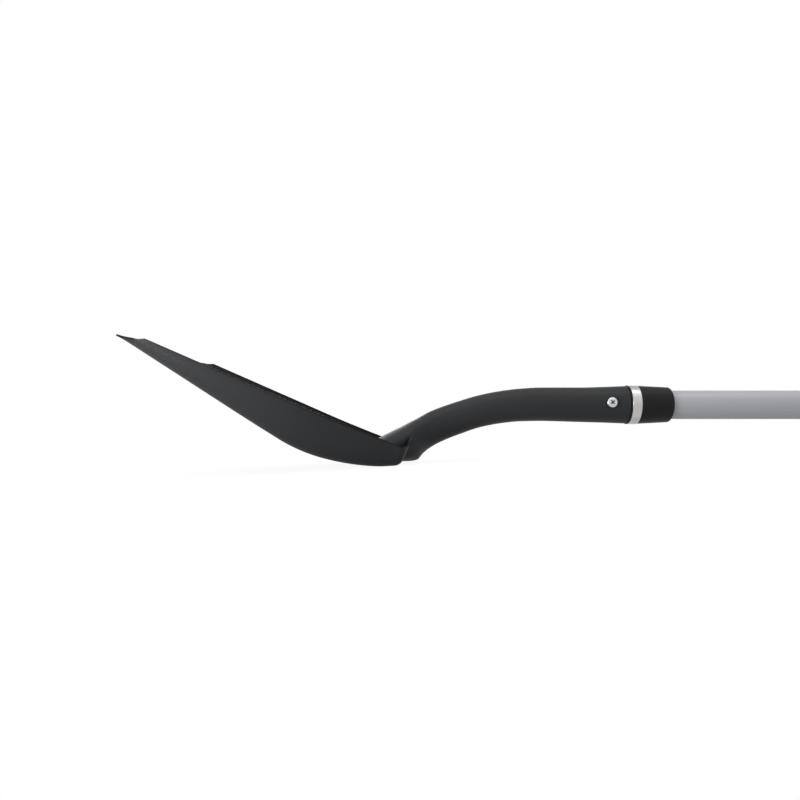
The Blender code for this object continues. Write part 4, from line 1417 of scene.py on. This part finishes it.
@dataclass
class Screw:
    """A domed screw with a cross recess, set in the near side, and the dark cup under its head.

    Its name is the solid it replaces, x its place up the shaft, seat and surface how far from the
    shaft's axis its head rests and the piece round it ends, and raised its turn round the shaft.
    """

    shop: Workshop
    name: str
    x: float
    seat: float
    surface: float
    raised: float
    cup_finish: Finish
    head_radius: float = 0.0055
    head_height: float = 0.0026
    rim_share: float = 0.30
    shank_radius: float = 0.0024
    bite: float = 0.009
    recess_half: float = 0.00062
    recess_span: float = 0.0028
    recess_depth: float = 0.0019
    recess_edge: float = 0.00022
    recess_rise: float = 0.45
    recess_turn: float = math.radians(40.0)
    cup_rim: float = 0.0006
    cup_depth: float = 0.0012
    rows: int = 64
    steps: int = 168
    cup_steps: int = 64

    @property
    def shank_length(self) -> float:
        """From the seat through the tube's wall, and on by the screw's bite in the wood."""
        return self.seat + SIZES.gap - SIZES.tube_radius + SIZES.tube_wall + self.bite

    def axis(self) -> Axis:
        """The screw's line: out of the near side, from just off its seat, some way round the shaft.

        Returns:
            The line, which starts at the underside of the head.
        """
        out = np.array([0.0, -math.cos(self.raised), math.sin(self.raised)])
        foot = np.array([self.x, 0.0, 0.0]) + out * (self.seat + SIZES.gap)
        return Axis(tuple(foot), tuple(out), (1.0, 0.0, 0.0))

    def recess(self, u: Array, v: Array) -> Array:
        """Depth of the cross: full in its middle, and rising with the square of the reach to its ends.

        A place is inside where it lies within one of two crossed bars, over a soft edge.

        Args:
            u, v: places on the head, along the cross's two arms.

        Returns:
            The depth at each.
        """
        arm_u = np.maximum(np.abs(u) - self.recess_span, np.abs(v) - self.recess_half)
        arm_v = np.maximum(np.abs(v) - self.recess_span, np.abs(u) - self.recess_half)
        inside = ease(0.5 - np.minimum(arm_u, arm_v) / self.recess_edge)
        reach = np.hypot(u, v) / self.recess_span
        return self.recess_depth * inside * (1.0 - self.recess_rise * reach**2)

    def build(self) -> None:
        """Makes the head with its shank, and the cup.

        The dome is a quarter of an ellipse over a low rim, with the cross pressed into it.
        """
        share = np.linspace(0.0, 1.0, self.rows)
        radius = self.head_radius * np.sin(share * math.pi / 2)
        dome = self.head_height * (self.rim_share + (1 - self.rim_share) * np.cos(share * math.pi / 2))
        edge = np.array(
            [
                [self.head_radius, self.head_height * 0.16],
                [self.head_radius * 0.975, 0.0001],
                [self.head_radius * 0.9, 0.0],
                [self.shank_radius, 0.0],
                [self.shank_radius, -self.shank_length + self.shank_radius],
                [MERGE, -self.shank_length],
            ]
        )
        axis = self.axis()
        outline = np.concatenate([np.stack([np.maximum(radius, MERGE), dome], axis=-1), edge])
        grid = axis.turned(outline, self.steps)
        turn = TAU * np.arange(self.steps) / self.steps - self.recess_turn
        u = radius[:, None] * np.cos(turn)
        v = radius[:, None] * np.sin(turn)
        grid[: self.rows] -= self.recess(u, v)[..., None] * np.array(axis.along)
        patch = Patch(self.shop.frame.lift(grid), round_columns=True, first_cap=True, last_cap=True)
        head = make_piece(f"{self.name}_turned", [patch], sharp_degrees=50.0)
        self.mark_recess_shade(head.data, axis)
        self.shop.sign_off(head, Finish.ZINC, self.name)
        self.build_cup(axis)

    def mark_recess_shade(self, mesh: bpy.types.Mesh, axis: Axis) -> None:
        """Writes how deep each point of the head lies in the cross, from 0 to 1, for the finish.

        Each point's place across the axis is its distance along two directions square to it.

        Args:
            mesh: the finished head and shank.
            axis: the screw's line.
        """
        foot, along, start = (np.array(v) for v in (axis.foot, axis.along, axis.start))
        origin, tip, first, second = self.shop.frame.lift(
            np.stack([foot, foot + along, foot + start, foot + np.cross(along, start)])
        )
        flat = np.empty(len(mesh.vertices) * 3)
        mesh.vertices.foreach_get("co", flat)
        place = flat.reshape(-1, 3) - origin
        ahead, side = place @ (first - origin), place @ (second - origin)
        cosine, sine = math.cos(self.recess_turn), math.sin(self.recess_turn)
        depth = self.recess(ahead * cosine + side * sine, side * cosine - ahead * sine)
        # These marks carry the zinc's painted shade in the cross.
        marks = np.where(place @ (tip - origin) > 0.0, depth / self.recess_depth, 0.0).astype(np.float32)
        mesh.attributes.new("recess", "FLOAT", "POINT").data.foreach_set("value", marks)

    def build_cup(self, axis: Axis) -> None:
        """Makes the cup: a low ring that fills the space between the head and the surface; on the neck it
        is near black, painted shade round the head.

        Args:
            axis: the screw's line.
        """
        inner = self.shank_radius + SIZES.gap
        outer = self.head_radius + self.cup_rim
        deep = self.surface - self.seat - self.cup_depth
        corners = [
            (inner, -0.0001, 0.0001),
            (self.head_radius * 0.9, -0.0001, 0.0001),
            (self.head_radius + 0.0001, 0.0003, 0.0002),
            (outer, 0.0001, 0.0003),
            (outer, deep, 0.0002),
            (inner, deep, 0.0001),
        ]
        self.shop.turn(f"{self.name}_cup", soften(corners), axis, self.cup_steps, self.cup_finish)


@dataclass
class Grip:
    """The D-shaped grip: one moulding with softened joins, and a ribbed sleeve on its bar."""

    shop: Workshop
    nodes: dict[str, bpy.types.Object]
    weld: float = 0.00001
    voxel: float = 0.0010
    soft_rounds: int = 14
    crown: float = 0.0008
    ribs: int = 22
    rib_depth: float = 0.0007
    settle: float = 0.00003
    plain: float = 0.09
    band_edge: float = 0.03
    end_round: float = 0.0016
    rows: int = 260
    steps: int = 120

    def build(self) -> None:
        """Makes the yoke and the sleeve."""
        self.build_yoke()
        self.build_sleeve()

    def build_yoke(self) -> None:
        """Makes the yoke from the solid: remeshed evenly, then smoothed, which fillets its joins."""
        mesh = self.nodes["grip_yoke"].data.copy()
        mesh.name = "grip_yoke_soft"
        with editing(mesh) as shape:
            bmesh.ops.remove_doubles(shape, verts=shape.verts, dist=self.weld)
        yoke = new_object("grip_yoke_soft", mesh)
        modify(yoke, "REMESH", mode="VOXEL", voxel_size=self.voxel)
        modify(yoke, "SMOOTH", factor=0.5, iterations=self.soft_rounds)
        depsgraph = bpy.context.evaluated_depsgraph_get()
        settled = bpy.data.meshes.new_from_object(yoke.evaluated_get(depsgraph))
        yoke.modifiers.clear()
        yoke.data = settled
        settled.shade_smooth()
        self.shop.sign_off(yoke, Finish.GRIP, "grip_yoke")

    def build_sleeve(self) -> None:
        """Makes the sleeve: a crowned tube with a band of rounded grooves between two plain ends.

        The crown is the root of half a sine wave along the bar, a groove is the cube of a raised
        cosine, and each end is rounded by a quarter circle.
        """
        length = SIZES.hand_width - 2 * SIZES.gap
        inner = SIZES.sleeve_radius - SIZES.sleeve_wall
        height = np.linspace(length / 2, -length / 2, self.rows)
        share = height / length + 0.5
        crown = self.crown * (np.maximum(np.sin(math.pi * share), 0.0) ** 0.5 - 1.0)
        band = ease((0.5 - np.abs(share - 0.5) - self.plain) / self.band_edge)
        groove = 0.5 - 0.5 * np.cos(TAU * self.ribs * (share - self.plain) / (1 - 2 * self.plain))
        close = np.maximum(self.end_round - (length / 2 - np.abs(height)), 0.0)
        rounding = self.end_round - np.sqrt(np.maximum(self.end_round**2 - close**2, 0.0))
        radius = SIZES.sleeve_radius - self.settle + crown - self.rib_depth * band * groove**3 - rounding
        outside = np.stack([radius, height], axis=-1)
        outline = np.concatenate([[[inner, length / 2]], outside, [[inner, -length / 2]]])
        axis = Axis((SIZES.bar_x, 0.0, 0.0), (0.0, 1.0, 0.0), (1.0, 0.0, 0.0))
        self.shop.turn(
            "sleeve_ribbed", outline, axis, self.steps, Finish.SLEEVE, "grip_sleeve", sharp_degrees=50.0
        )


# ---- Studio ----


@dataclass(frozen=True)
class Softbox:
    """A square lamp that faces a point."""

    name: str
    place: Triple
    towards: Triple
    size: tuple[float, float]
    power: float

    def hang(self) -> None:
        """Adds the lamp."""
        data = bpy.data.lights.new(self.name, "AREA")
        data.shape = "RECTANGLE"
        data.size, data.size_y = self.size
        data.energy = self.power
        lamp = new_object(self.name, data)
        lamp.location = self.place
        aim = Vector(self.towards) - Vector(self.place)
        lamp.rotation_euler = aim.to_track_quat("-Z", "Y").to_euler()


@dataclass
class Studio:
    """Pale floor, soft lamps and the camera.

    Each pair is a level in front of the shovel, where the camera stands, and one behind it.
    """

    frame: ShaftFrame
    camera_place: Triple = (-0.25245, -0.743, -0.031)
    focal: float = 663.0
    image: float = 800.0
    sensor: float = 36.0
    principal_row: float = 432.45
    floor_half: float = 8.0
    floor_drop: float = 0.0002
    ambient: tuple[float, float] = (0.45, 1.2)
    mirrored: tuple[float, float] = (0.70, 0.55)
    floor_grey: float = 0.36
    floor_glow: float = 1.23
    floor_seen: float = 0.75
    floor_mirrored: tuple[float, float] = (0.30, 0.80)
    lamps: tuple[Softbox, ...] = (
        Softbox("left", (-0.95, -0.40, 0.08), (-0.55, -0.05, 0.12), (0.3, 0.3), 5.0),
        Softbox("side", (-1.1, -0.6, 0.5), (-0.5, -0.05, 0.1), (0.5, 0.5), 0.8),
        Softbox("top", (-0.2, -0.7, 1.4), (-0.2, 0.0, 0.0), (2.4, 0.8), 1.5),
        Softbox("over", (-0.1, -0.2, 1.8), (-0.1, 0.0, 0.0), (2.4, 0.5), 5.0),
        Softbox("back", (0.0, 1.4, 0.35), (-0.1, 0.0, 0.05), (2.4, 0.5), 7.0),
    )

    def build(self) -> None:
        """Sets everything up."""
        self.lay_floor()
        self.light()
        self.aim_camera()
        bpy.context.scene.view_settings.view_transform = "Standard"

    def lay_floor(self) -> None:
        """Lays the floor: white to the camera, with the shovel's soft shadow on it."""
        half = self.floor_half
        side = np.linspace(-half, half, 3)
        x, y = np.meshgrid(side, side, indexing="ij")
        points = np.stack([x, y, np.full_like(x, -self.floor_drop)], axis=-1)
        floor = make_piece("floor", [Patch(points)])
        recipe = Recipe("pale_floor")
        camera, glossy, passing = recipe.rays()
        mirrored = self.fade(recipe.behind("Object", 0.1, 0.5), self.floor_mirrored)
        seen = camera * self.floor_seen + (glossy + passing) * mirrored
        grey = (self.floor_grey, self.floor_grey, self.floor_grey, 1.0)
        matt = recipe.node("ShaderNodeBsdfDiffuse", {"Color": grey})
        glow = recipe.node("ShaderNodeEmission", {"Color": WHITE, "Strength": self.floor_glow})
        mixed = recipe.node("ShaderNodeMixShader", {0: seen, 1: matt, 2: glow})
        floor.data.materials.append(recipe.close(mixed))

    def light(self) -> None:
        """Adds the lamps, and a world that is white where it is seen and dimmer as light."""
        for lamp in self.lamps:
            lamp.hang()
        world = Recipe("studio", world=True)
        camera, glossy, passing = world.rays()
        behind = world.behind("Generated", -0.2, 0.2)
        matt = 1.0 - camera - glossy - passing
        lit = glossy * self.fade(behind, self.mirrored) + matt * self.fade(behind, self.ambient)
        white = {"Color": WHITE, "Strength": camera + passing + lit}
        bpy.context.scene.world = world.close(world.node("ShaderNodeBackground", white))

    @staticmethod
    def fade(behind: Signal, levels: tuple[float, float]) -> Signal:
        """Level that goes from the first to the second as behind goes from 0 to 1."""
        return levels[0] + behind * (levels[1] - levels[0])

    def aim_camera(self) -> None:
        """Places the camera level with the shaft's frame, looking square at its side."""
        data = bpy.data.cameras.new("camera")
        data.sensor_width = self.sensor
        data.lens = self.focal / self.image * self.sensor
        data.shift_y = (self.principal_row - self.image / 2) / self.image
        camera = new_object("camera", data)
        stand = Matrix.Translation(self.camera_place) @ Matrix.Rotation(math.pi / 2, 4, "X")
        camera.matrix_world = self.frame.matrix() @ stand
        bpy.context.scene.camera = camera


def main() -> None:
    """Builds the scene."""
    logging.basicConfig(level=logging.INFO, format="%(message)s")
    for old in list(bpy.data.objects):
        bpy.data.objects.remove(old)
    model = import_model()
    frame = ShaftFrame.from_model()
    shop = Workshop(frame, FloorLine(frame.lay))
    shop.mix_finishes()
    Pan(shop).build()
    Neck(shop).build()
    Mouth(shop).build()
    Shaft(shop, model["nodes"]).build()
    x, seat = -SIZES.neck_screw_inset, SIZES.mouth_radius
    surface = float(Neck(shop).section(np.array([x]))[0, 2])
    # The neck screw's cup takes the seal's near black: a seat under the head, drawn dark as painted shade
    # round it.
    Screw(shop, "shaft_screw", x, seat, surface, NECK_SCREW_RAISE, Finish.SEAL).build()
    x, seat = SIZES.tube_top - SIZES.grip_screw_inset, SIZES.socket_radius
    Screw(shop, "grip_screw", x, seat, seat, 0.0, Finish.GRIP).build()
    Grip(shop, model["nodes"]).build()
    Studio(frame).build()


if __name__ == "__main__":
    main()
